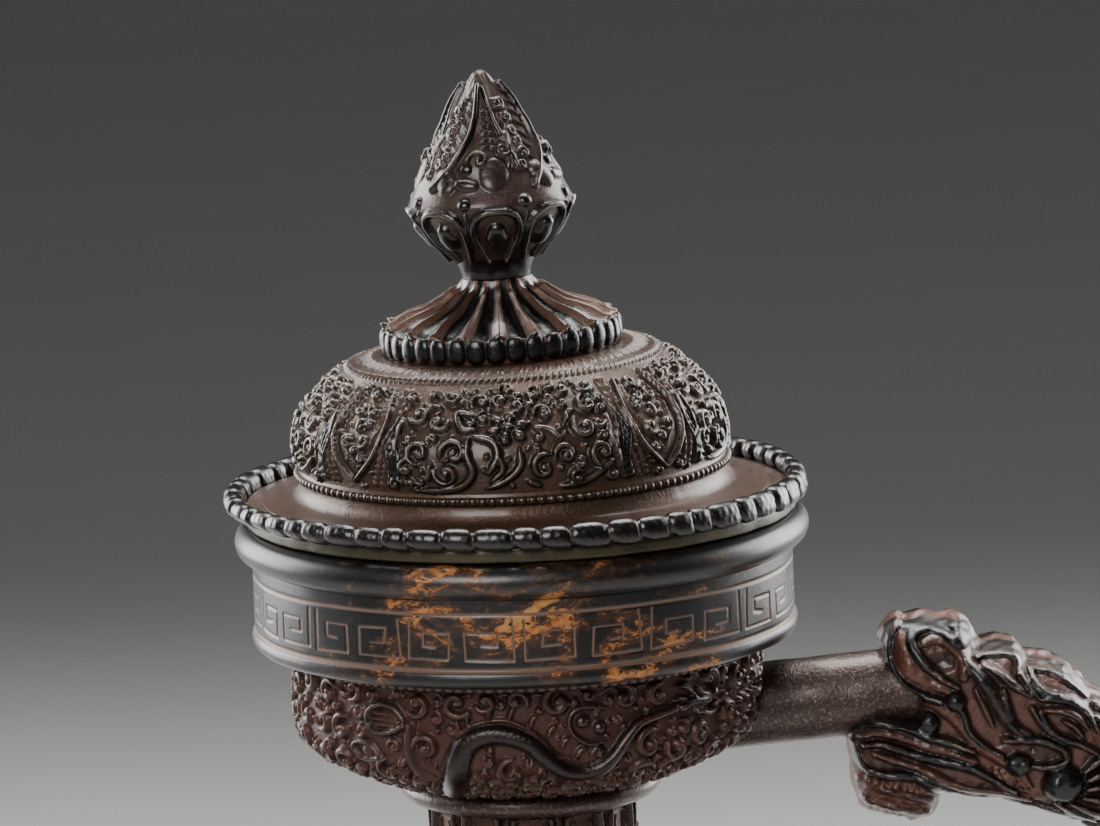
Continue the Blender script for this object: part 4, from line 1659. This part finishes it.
            self.draw([(x, 186.9 - step * 0.24), (x + 0.3, 187.6 - step * 0.16)], 0.2, 0.4, 0.3)
            self.draw([(x, 182.6 - step * 0.26), (x + 0.5, 181.4 - step * 0.26)], 0.2, 0.4, 0.3)

    def cheek(self) -> None:
        """Draws the ridge, the brows and the eye's frame behind the jaws."""
        self.draw([(68.3, 206.1), (70.0, 204.1), (72.0, 201.2), (73.5, 198.6), (74.8, 196.0),
            (76.8, 194.0)], (0.5, 0.9, 1.0, 0.9, 0.5), 1.5, 0.35)
        self.draw([(73.8, 193.4), (78.0, 193.3), (81.1, 192.7), (83.3, 191.2), (83.2, 189.6),
            (80.7, 188.9), (78.5, 189.1)], (0.4, 0.6, 0.65, 0.6, 0.4), 1.5, 0.6)
        self.hollow(79.8, 191.1, 3.0, 1.1, 0.8)
        self.ball(76.1, 189.4, 2.7, 2.0, 2.3)
        self.ball(82.9, 186.1, 4.0, 3.3, 2.8)
        for points, wide, ink in (([(70.2, 206.3), (72.1, 206.8), (74.3, 207.0), (76.2, 206.4),
                (76.8, 205.1), (76.4, 203.7)], 0.62, 0.8), ([(71.1, 205.2), (73.3, 204.1), (75.6, 202.1),
                (78.2, 200.3)], 0.6, 0.4), ([(78.3, 204.4), (78.8, 202.7), (80.4, 200.8), (82.8, 200.3)],
                0.5, 0.6), ([(78.9, 204.2), (81.7, 203.8), (84.1, 202.5), (86.0, 200.8), (87.2, 199.3)],
                0.62, 0.7), ([(79.7, 199.8), (82.2, 199.8), (85.2, 198.9), (87.3, 196.9), (88.6, 194.2)],
                0.62, 0.8), ([(80.6, 198.0), (83.4, 197.7), (85.6, 196.5), (87.1, 194.6)], 0.5, 0.3),
                ([(79.7, 198.0), (80.7, 195.4), (82.7, 193.5), (85.8, 192.3), (88.6, 190.6)], 0.55, 0.6),
                ([(74.0, 201.4), (74.6, 198.7), (75.6, 195.9), (78.0, 194.2)], 0.5, 0.5),
                ([(78.3, 198.4), (79.6, 196.3), (81.1, 194.1)], 0.5, 0.4),
                ([(77.0, 203.5), (78.2, 201.6), (79.7, 199.8)], 0.45, 0.5),
                ([(69.6, 201.6), (71.0, 198.6), (72.2, 195.6)], 0.4, 0.3),
                ([(83.2, 196.2), (84.9, 195.2), (86.2, 193.4)], 0.45, 0.5)):
            self.draw(points, (wide * 0.6, wide, wide, wide * 0.5), 1.35, ink)
        for step in range(6):
            x = 71.6 + step * 1.05
            self.draw([(x, 188.6 - step * 0.2), (x + 1.1, 186.6 - step * 0.2)], 0.3, 0.6, 0.4)

    def mane(self) -> None:
        """Draws the mane that flows back over the grip."""
        for points, wide in (([(86.3, 187.9), (88.9, 189.8), (92.0, 190.3), (95.4, 189.2), (98.2, 186.8)],
                0.62), ([(86.8, 186.6), (89.4, 187.7), (92.6, 187.9), (96.0, 186.4), (99.6, 183.4)],
                0.62), ([(86.7, 185.1), (89.7, 185.5), (93.1, 185.0), (96.8, 182.8), (100.8, 181.6)],
                0.62), ([(86.1, 183.7), (89.0, 183.1), (92.5, 181.9), (96.2, 179.8), (100.6, 178.6)],
                0.62), ([(84.0, 182.8), (86.5, 181.4), (89.3, 180.0), (93.1, 178.0), (97.6, 176.4)], 0.6),
                ([(81.8, 182.9), (83.4, 181.6), (85.5, 180.3), (88.3, 178.8)], 0.5),
                ([(88.4, 198.4), (90.6, 196.8), (92.9, 194.2), (94.6, 191.4)], 0.62),
                ([(88.4, 196.6), (90.2, 194.8), (91.6, 192.5), (92.6, 190.9)], 0.5),
                ([(94.9, 192.2), (96.6, 189.4), (98.6, 187.4), (101.0, 185.6)], 0.55),
                ([(97.8, 185.6), (100.2, 184.6), (102.2, 182.6)], 0.45)):
            self.draw(points, (wide * 0.6, wide * 1.15, wide, wide * 0.5), 1.5, 0.7)
        for step in range(7):
            lift = step * 1.9
            self.draw([(88.6 + step * 0.3, 187.0 - lift * 0.55), (93.8, 186.9 - lift * 0.8),
                (98.4, 184.6 - lift)], 0.2, 0.55, 0.2)

    def thickness(self) -> tuple[np.ndarray, np.ndarray]:
        """Returns the half thickness at each place and the signed distance inside the profile."""
        x, z = self.relief.angles[:, None], self.relief.rows[None, :]
        x, z = x * np.ones_like(z), z * np.ones_like(x)
        outer, mouth = np.array(self.profile), np.array(self.notch)
        whole = np.vstack([outer, mouth])
        ring = np.vstack([whole, whole[:1]])
        signed = distance_to(ring, x, z) * np.where(inside_of(whole, x, z), 1, -1)
        far_edge = distance_to(outer, x, z)
        far_mouth = distance_to(mouth, x, z)
        width = np.interp(x, [48, 60, 70, 83, 95, 104], [8.2, 8.4, 10.0, 10.6, 10.2, 9.4])
        width *= np.interp(z, [178, 184, 206, 213], [0.8, 1.0, 1.0, 0.82])
        edge = 1 - (1 - np.clip(far_edge / self.round_edge, 0, 1)) ** 2
        lip = 1 - (1 - np.clip(far_mouth / self.lip_edge, 0, 1)) ** 2
        thick = width * np.sqrt(edge) * np.sqrt(lip)
        thick += self.relief.height * np.clip(signed / 0.8, 0, 1) * 0.92
        return np.where(signed > 0, np.maximum(thick, 0.15), 0.0), signed

    def shell(self, thick: np.ndarray, signed: np.ndarray) -> bpy.types.Object:
        """Joins both sides into one closed mesh and makes its faces even."""
        x = self.relief.angles[:, None] * np.ones_like(thick)
        z = self.relief.rows[None, :] * np.ones_like(thick)
        slope_x, slope_z = np.gradient(signed, self.gap)
        outside = signed <= 0
        x = x - np.where(outside, signed * slope_x, 0)
        z = z - np.where(outside, signed * slope_z, 0)
        count = thick.size
        front = np.arange(count).reshape(thick.shape)
        behind = np.where(outside, front, front + count)
        points = np.vstack([np.column_stack([x.ravel(), side * thick.ravel(), z.ravel()])
            for side in (-1, 1)])
        live = ~(outside[:-1, :-1] & outside[1:, :-1] & outside[1:, 1:] & outside[:-1, 1:])
        quads = []
        for grid, step in ((front, 1), (behind, -1)):
            corners = np.stack([grid[:-1, :-1], grid[1:, :-1], grid[1:, 1:], grid[:-1, 1:]], -1)
            quads += corners[live][:, ::step].tolist()
        used = np.unique(np.array(quads))
        fresh = np.zeros(len(points), int)
        fresh[used] = np.arange(len(used))
        faces = fresh[np.array(quads)].tolist()
        rough = self.shop.mesh("dragon_head_rough", points[used], faces)
        even = rough.modifiers.new("even", "REMESH")
        even.mode, even.voxel_size, even.use_smooth_shade = "VOXEL", self.voxel * MM, True
        graph = bpy.context.evaluated_depsgraph_get()
        data = bpy.data.meshes.new_from_object(rough.evaluated_get(graph))
        piece = bpy.data.objects.new("dragon_head_relief", data)
        bpy.context.scene.collection.objects.link(piece)
        bpy.data.objects.remove(rough)
        return piece

    def sample(self, values: np.ndarray, x: np.ndarray, z: np.ndarray) -> np.ndarray:
        """Reads a grid of values between its points."""
        column = np.clip((x - self.relief.angles[0]) / self.gap, 0, len(self.relief.angles) - 1.001)
        row = np.clip((z - self.relief.rows[0]) / self.gap, 0, len(self.relief.rows) - 1.001)
        c, r = column.astype(int), row.astype(int)
        u, v = column - c, row - r
        return ((values[c, r] * (1 - u) + values[c + 1, r] * u) * (1 - v)
            + (values[c, r + 1] * (1 - u) + values[c + 1, r + 1] * u) * v)

    def lumps(self, places: np.ndarray) -> np.ndarray:
        """Returns how far each point moves out, so that the smooth edges look worked by hand."""
        dice = np.random.default_rng(63)
        result = np.zeros(len(places))
        for _ in range(14):
            way = dice.normal(size=3)
            way *= TURN / dice.uniform(2.2, 6.5) / np.linalg.norm(way)
            result += np.sin(places @ way + dice.uniform(0, TURN)) * 0.075
        edge = np.clip(1 - np.abs(places[:, 1]) / 9, 0.25, 1)
        return result * edge

    def carve(self, piece: bpy.types.Object, thick: np.ndarray) -> None:
        """Sets the remeshed points back on the drawing and gives them its marks."""
        places = np.zeros(len(piece.data.vertices) * 3)
        piece.data.vertices.foreach_get("co", places)
        places = places.reshape(-1, 3) / MM
        x, y, z = places.T
        want = self.sample(thick, x, z)
        hold = np.clip((np.abs(y) - 2.5) / 2.0, 0, 1) * (np.abs(want - np.abs(y)) < 1.2)
        places[:, 1] = np.sign(y) * (np.abs(y) * (1 - hold) + want * hold)
        facing = np.zeros_like(places).ravel()
        piece.data.vertices.foreach_get("normal", facing)
        places += facing.reshape(-1, 3) * self.lumps(places)[:, None]
        piece.data.vertices.foreach_set("co", (places * MM).ravel())
        for key, values in self.relief.marks().items():
            mark = piece.data.attributes.new(key, "FLOAT", "POINT")
            shown = self.sample(values, x, z) * np.clip(np.abs(y) / 3, 0, 1)
            mark.data.foreach_set("value", shown.astype(np.float32))
        piece.data.update()


# The handle and the spout.


@dataclass
class Seat:
    """A round plate's place on the upper belly."""

    side: int
    height: float
    radius: float
    thickness: float
    back_centre: float = 28.0
    swell: float = 38.0
    middle: float = 97.0

    @property
    def angle(self) -> float:
        """How steeply the belly faces up here."""
        return math.asin((self.height - self.middle) / self.swell)

    def surface(self, across: np.ndarray, up: np.ndarray, proud: np.ndarray) -> np.ndarray:
        """Returns points over the belly.

        Args:
            across: how far each point lies across, towards +Y.
            up: how far it lies up the belly from the plate's middle.
            proud: how far it stands off the belly.

        Returns:
            The points.
        """
        c, s = math.cos(self.angle), math.sin(self.angle)
        out = np.array([self.side * c, 0, s])
        rise = np.array([-self.side * s, 0, c])
        centre = np.array([self.side * (self.back_centre + self.swell * c), 0, self.height])
        points = centre + up[..., None] * rise + across[..., None] * np.array([0, 1.0, 0])
        for _ in range(8):
            ring = np.hypot(points[..., 0], points[..., 1])
            rise_now = points[..., 2] - self.middle
            low = rise_now < 0
            core, swell = np.where(low, 20.0, self.back_centre), np.where(low, 46.0, self.swell)
            gap = np.hypot(ring - core, rise_now) - swell - proud
            points = points - gap[..., None] * out * 0.95
        return points


@dataclass
class Medallion:
    """A round plate on the belly with relief drawn across and up."""

    name: str
    seat: Seat
    gap: float = 0.26
    relief: Relief = field(init=False)

    def __post_init__(self) -> None:
        """Lays a flat drawing over the plate."""
        reach = self.seat.radius + 1
        places = np.arange(-reach, reach, self.gap)
        self.relief = Relief(places, places, np.ones(len(places)), wraps=False)

    def pen(self, across: float, up: float, lean: float = 0.0, mirrored: bool = False) -> Pen:
        """Returns a pen at a place on the plate."""
        return Pen(across, up, 1.0, math.radians(lean), mirrored)

    def make(self, shop: Workshop) -> bpy.types.Object:
        """Makes the plate's mesh."""
        seat = self.seat
        around, rings = 300, int(seat.radius / self.gap)
        turn = np.arange(around) * TURN / around
        reach = np.linspace(0.02, seat.radius, rings)
        across = reach[None, :] * np.cos(turn)[:, None]
        up = reach[None, :] * np.sin(turn)[:, None]
        step = self.relief.angles[1] - self.relief.angles[0]
        column = np.rint((across - self.relief.angles[0]) / step).astype(int)
        row = np.rint((up - self.relief.rows[0]) / step).astype(int)
        marks = {key: values[column, row] for key, values in self.relief.marks().items()}
        arm = seat.radius * 0.5657
        rivet = np.hypot(np.abs(across) - arm, np.abs(up) - arm)
        height = self.relief.height[column, row] * np.clip((rivet - 2.3) / 0.8, 0, 1)
        edge = np.clip((seat.radius - reach) / 0.7, 0, 1)
        proud = seat.thickness - 0.5 + 0.5 * np.sqrt(1 - (1 - edge) ** 2)[None, :] + height * edge
        top = seat.surface(across, up, proud)
        foot = seat.surface(across[:, -1:], up[:, -1:], np.full((around, 1), 0.05))
        under = seat.surface(across[:, :1], up[:, :1], np.full((around, 1), 0.05))
        points = np.concatenate([top, foot, under], axis=1)
        marks = {key: np.pad(values, ((0, 0), (0, 2))) for key, values in marks.items()}
        if seat.side > 0:
            points = points[::-1]
            marks = {key: values[::-1] for key, values in marks.items()}
        return shop.skin(self.name, points, marks, closed=True)


@dataclass
class Handle:
    """The bar from the bulb, the dragon's head, its body as the grip, and the plate."""

    shop: Workshop
    scale_step: float = 4.1

    def build(self) -> None:
        """Makes every piece of the handle."""
        self.tube()
        DragonHead(self.shop).build()
        self.grip()
        self.plate()

    def tube(self) -> None:
        """Makes the plain speckled bar with its faint seam."""
        rise = math.tan(math.radians(4.1))
        stations = [(x, 200.4 - (68 - x) * rise, 6.6) for x in (20, 30, 40, 50, 60, 67.9)]
        tube = Bar("handle_bar_plain", stations, 260, 0.26)
        tube.relief.roughen(0.05, 7, 71)
        tube.relief.engrave([tube.line([(200, 2), (196, 24), (199, 47)], 0.1, 0.08)])
        self.shop.settle(tube.make(self.shop), SPECKLED, "handle_tube", "speckled_bronze")

    def grip(self) -> None:
        """Makes the dragon's scaled body with its fins."""
        stations = [(88.0, 188.3, 8.4), (96.6, 182.2, 8.5), (105.1, 175.9, 8.5), (112.0, 168.0, 8.4),
            (115.9, 159.3, 8.3), (117.9, 151.5, 8.15), (118.0, 144.0, 8.0), (116.6, 136.4, 7.85),
            (112.9, 128.8, 7.65), (102.0, 118.9, 7.2), (88.0, 115.4, 6.9), (74.0, 115.0, 6.7),
            (62.6, 115.0, 6.6)]
        body = Bar("handle_dragon_body", stations, 230, 0.3)
        rows = int(body.length / self.scale_step)
        for row in range(rows):
            along = 6 + row * self.scale_step
            for scale in range(9):
                angle = (scale + (row % 2) * 0.5) * 24 + 48
                if not 44 < angle < 262:
                    continue
                spot = body.pen(angle + 26, along)
                rim = [(-1.75, 1.6), (-1.5, -0.4), (0, -1.75), (1.5, -0.4), (1.75, 1.6)]
                body.relief.press([spot.stroke(rim, 0.42, 0.75, 0.65), spot.drop(1.3, 0.7, 0.45, 0.2,
                    Section.SOFT)])
            for side in (-1, 1):
                fin = body.pen(side * 9, along, mirrored=side < 0)
                body.relief.press([fin.stroke([(-0.8, 1.8), (0.6, 0.6), (0.9, -1.4)], 0.7, 1.25, 0.9,
                    (0.7, 0.2))])
            body.relief.press([body.pen(0, along).drop(1.5, 0.95, 1.5, 0.9, Section.SOFT)])
        for angle in (30, -30):
            body.draw([(angle, 2), (angle, body.length / 2), (angle, body.length - 1)], 0.55, 0.8, 0.8)
        body.band(body.length - 3.2, 1.3, 1.0, 0.8)
        body.band(body.length - 6.4, 0.7, 0.7, 0.6)
        body.relief.roughen(0.05, 4, 72)
        self.shop.settle(body.make(self.shop), RED_BROWN, "handle_body")

    def plate(self) -> None:
        """Makes the lotus plate where the grip meets the belly, and dresses its rivets."""
        plate = Medallion("handle_lotus_plate", Seat(1, 115.0, 13.5, 1.8))
        for petal in range(12):
            lean = petal * 30
            spot = plate.pen(10.4 * math.cos(math.radians(lean)), 10.4 * math.sin(math.radians(lean)),
                lean - 90)
            rim = [(-2.1, -2.0), (-1.8, 0.6), (0, 2.2), (1.8, 0.6), (2.1, -2.0)]
            plate.relief.press([spot.stroke(rim, 0.42, 0.8, 0.7), spot.drop(1.2, 0.7, 0.6, 0.4)])
        plate.relief.roughen(0.05, 4, 73)
        self.shop.settle(plate.make(self.shop), RED_BROWN, "handle_plate")
        dress("handle_rivets", self.shop.finish(DARK))


@dataclass
class Spout:
    """The mask on the belly and the two-part spout that grows from it."""

    shop: Workshop
    wall: float = 1.9

    def build(self) -> None:
        """Makes every piece of the spout."""
        self.mask()
        self.lower()
        self.upper()
        self.rings()

    def mask(self) -> None:
        """Makes the beast's mask round the spout's root."""
        seat = Seat(-1, 116.0, 16.0, 2.2)
        mask = Medallion("spout_beast_mask", seat)
        for side in (-1, 1):
            eye = mask.pen(side * 7.4, 5.4)
            mask.relief.press([eye.drop(2.0, 1.9, 2.6, 0.9, Section.SOFT)])
            mask.relief.press([mask.pen(0, 0, mirrored=side < 0).stroke(points, wide, height, ink,
                (0.6, 0.15)) for points, wide, height, ink in (([(2.0, 9.6), (6.0, 9.9), (10.4, 8.6),
                (12.8, 5.2)], 1.0, 2.0, 0.7), ([(1.2, 12.4), (5.2, 13.2), (9.6, 11.9)], 0.8, 1.3, 0.6),
                ([(10.6, 4.8), (12.4, 1.4), (13.6, -2.6)], 0.85, 1.4, 0.6),
                ([(9.8, 1.4), (10.6, -2.6), (9.2, -6.6), (5.2, -9.8)], 1.0, 1.9, 0.8),
                ([(11.6, -5.6), (9.6, -9.6), (5.6, -12.6), (1.4, -13.6)], 0.8, 1.3, 0.6),
                ([(13.8, -4.6), (12.4, -8.4)], 0.7, 1.2, 0.6))])
            curl = mask.pen(side * 12.0, 8.2, mirrored=side < 0)
            mask.relief.press(curl.curl(2.2, 200, 330, 0.6, 1.5, 0.7, pearl=0.6))
            fang = mask.pen(side * 4.6, -11.2, side * -14)
            mask.relief.press([fang.drop(1.7, 0.75, 1.5, 0.1)])
        for tooth in range(-2, 3):
            mask.relief.press([mask.pen(tooth * 1.7, -10.9 - abs(tooth) * -0.25).drop(0.9, 0.7, 1.1,
                0.1)])
        mask.relief.roughen(0.06, 4, 81)
        self.shop.settle(mask.make(self.shop), RED_BROWN, "")
        snout = Bar("spout_mask_snout", [(-52.6, 111.8, 11.8), (-60.0, 115.6, 11.7), (-67.0, 119.2, 11.2),
            (-72.4, 122.1, 10.9)], 240, 0.28, self.wall)
        for lip in (-2.2, -5.0):
            snout.band(snout.length + lip, 0.9, 1.2, 0.8)
        for fold in range(20):
            angle = fold * 18
            snout.draw([(angle, snout.length - 7), (angle + 4, 10)], (0.9, 0.5), 0.9, 0.5)
        snout.relief.roughen(0.05, 4, 82)
        piece = snout.make(self.shop)
        self.shop.settle(piece, RED_BROWN, "spout_mask")
        dress("spout_rivets", self.shop.finish(DARK))

    def lower(self) -> None:
        """Makes the lower tube with its scrolls and its tier of leaves."""
        tube = Bar("spout_lower_tube", [(-72.5, 122.2, 10.75), (-79.8, 126.2, 10.1), (-85.9, 132.1, 9.25),
            (-90.4, 139.0, 8.6), (-93.8, 146.35, 8.0)], 230, 0.28, self.wall)
        self.leaves(tube, 1.0, 11.5, 10)
        self.leaves(tube, tube.length - 3.5, tube.length - 12.5, 10)
        tube.relief.roughen(0.05, 4, 83)
        self.shop.settle(tube.make(self.shop), RED_BROWN, "spout_lower")

    def leaves(self, tube: Bar, root: float, tip: float, count: int) -> None:
        """Presses a tier of pointed leaves round a tube, from their root to their tip."""
        for leaf in range(count):
            angle = leaf * 360 / count
            for side in (-1, 1):
                rim = [(angle + side * 13, root), (angle + side * 14, root * 0.5 + tip * 0.5),
                    (angle + side * 7, root * 0.2 + tip * 0.8), (angle, tip)]
                tube.draw(rim, (0.45, 0.5, 0.5, 0.3), 0.85, 0.75)
            tube.draw([(angle, root * 0.85 + tip * 0.15), (angle, root * 0.35 + tip * 0.65)], (0.9, 0.4),
                0.8, 0.4)

    def upper(self) -> None:
        """Makes the upper tube with its leaves and its rolled line."""
        tube = Bar("spout_upper_tube", [(-93.8, 146.45, 8.0), (-95.4, 153.9, 7.55), (-96.9, 161.3, 7.2),
            (-99.0, 169.8, 6.95), (-102.5, 177.95, 6.85)], 220, 0.28, self.wall)
        self.leaves(tube, 3.4, 13.5, 9)
        self.leaves(tube, tube.length - 4.0, tube.length - 12.5, 9)
        tube.relief.roughen(0.05, 4, 84)
        self.shop.settle(tube.make(self.shop), RED_BROWN, "spout_upper")

    def rings(self) -> None:
        """Makes the ring at the joint and the lip at the tip."""
        for name, node, centre, lean, radius, long, bore in (("spout_joint_ring", "spout_ring",
                (-93.8, 146.4), -18, 9.0, 4.1, 1.1), ("spout_tip_lip", "spout_lip", (-101.65, 176.64),
                -32, 8.0, 3.1, 1.15)):
            out = np.array([math.sin(math.radians(lean)), math.cos(math.radians(lean))])
            steps = (-0.5, -0.45, -0.25, 0.0, 0.25, 0.45, 0.5)
            stations = [(centre[0] + out[0] * long * step, centre[1] + out[1] * long * step, radius)
                for step in steps]
            ring = Bar(name, stations, 200, 0.22, bore)
            middle = ring.length / 2
            swell = np.sqrt(np.clip(1 - ((ring.relief.rows - middle) / middle) ** 2, 0, 1))
            ring.relief.height += 0.55 * swell[None, :] - 0.05
            for bead in range(26):
                ring.relief.press([ring.pen(bead * 360 / 26, middle).drop(0.7, 0.7, 0.62, 0.6)])
            self.shop.settle(ring.make(self.shop), DARK, node, "dark_bronze")


def dress(node: str, material: bpy.types.Material) -> None:
    """Gives a node of the frame a finish of its own."""
    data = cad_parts[node].data
    data.materials.clear()
    data.materials.append(material)


# The studio.


@dataclass
class Studio:
    """The camera of the photograph, the soft lights and the pale floor."""

    shop: Workshop
    distance: float = 0.9
    lens: float = 188.8
    elevation: float = 9.63
    roll: float = 2.1
    look_at: tuple[float, float, float] = (0.0051, 0.0, 0.2458)
    aim: tuple[float, float, float] = (0.0, 0.0, 0.2)
    spread: float = 100.0
    air: tuple[float, float, float, float] = (0.40, 0.41, 0.43, 1.0)
    air_strength: float = 0.3
    boxes: tuple[tuple[str, tuple[float, float, float], tuple[float, float], float],
        ...] = (("box_left", (-0.90, 0.62, 0.46), (0.9, 0.9), 8.5), ("box_right", (0.90, 0.64, 0.46),
        (0.9, 0.9), 8.5), ("box_above", (0.05, 0.35, 1.05), (0.8, 0.5), 6.0),
        ("box_front", (-0.45, -1.15, 0.85), (0.7, 0.6), 5.5))

    def build(self) -> None:
        """Sets up everything that isn't part of the ewer."""
        self.camera()
        self.floor()
        self.lights()

    def camera(self) -> None:
        """Places the camera."""
        e, r = math.radians(self.elevation), math.radians(self.roll)
        right, up = Vector((1, 0, 0)), Vector((0, math.sin(e), math.cos(e)))
        back = Vector((0, -math.cos(e), math.sin(e)))
        data = bpy.data.cameras.new("photo_camera")
        data.lens, data.sensor_width = self.lens, 36.0
        camera = bpy.data.objects.new("photo_camera", data)
        x_axis = right * math.cos(r) - up * math.sin(r)
        y_axis = right * math.sin(r) + up * math.cos(r)
        turn = Matrix((x_axis, y_axis, back)).transposed().to_4x4()
        turn.translation = Vector(self.look_at) + back * self.distance
        camera.matrix_world = turn
        bpy.context.scene.collection.objects.link(camera)
        bpy.context.scene.camera = camera

    def floor(self) -> None:
        """Makes the wide round floor, which rises softly far away on all sides."""
        around = 96
        side = [(0.02, 0.0), (0.3, 0.0), (1.0, 0.0), (3.0, 0.0), (6.0, 0.0),
            *arc((6.0, 2.0), 2.0, -84, 0, 14), (8.0, 4.5)]
        turn = np.linspace(0, TURN, around, endpoint=False)
        points = np.array([(far * np.cos(angle), far * np.sin(angle), up) for far, up in side
            for angle in turn]) / MM
        faces = [[ring * around + k, ring * around + (k + 1) % around, (ring + 1) * around
            + (k + 1) % around, (ring + 1) * around + k] for ring in range(len(side) - 1)
            for k in range(around)]
        faces.append(list(range(around)))
        floor = self.shop.mesh("studio_floor", points, faces)
        floor.data.materials.append(self.shop.finish(Floor()))

    def lights(self) -> None:
        """Hangs two large soft boxes at the sides, one above and a weak one in front."""
        for name, place, size, power in self.boxes:
            data = bpy.data.lights.new(name, "AREA")
            data.shape, data.size, data.size_y = "RECTANGLE", size[0], size[1]
            data.energy = power
            data.spread = math.radians(self.spread)
            light = bpy.data.objects.new(name, data)
            light.location = place
            aim = Vector(self.aim) - Vector(place)
            light.rotation_mode = "QUATERNION"
            light.rotation_quaternion = aim.to_track_quat("-Z", "Y")
            bpy.context.scene.collection.objects.link(light)
            light.visible_camera = False
        world = bpy.data.worlds.new("studio_air")
        bpy.context.scene.world = world
        world.use_nodes = True
        air = world.node_tree.nodes["Background"]
        air.inputs["Color"].default_value = self.air
        air.inputs["Strength"].default_value = self.air_strength


def main() -> None:
    """Builds the whole picture."""
    logging.basicConfig(level=logging.INFO, format="%(message)s")
    shop = Workshop()
    for part in (Lid(shop), Mouth(shop), Belly(shop), Handle(shop), Spout(shop), Studio(shop)):
        part.build()


if __name__ == "__main__":
    main()
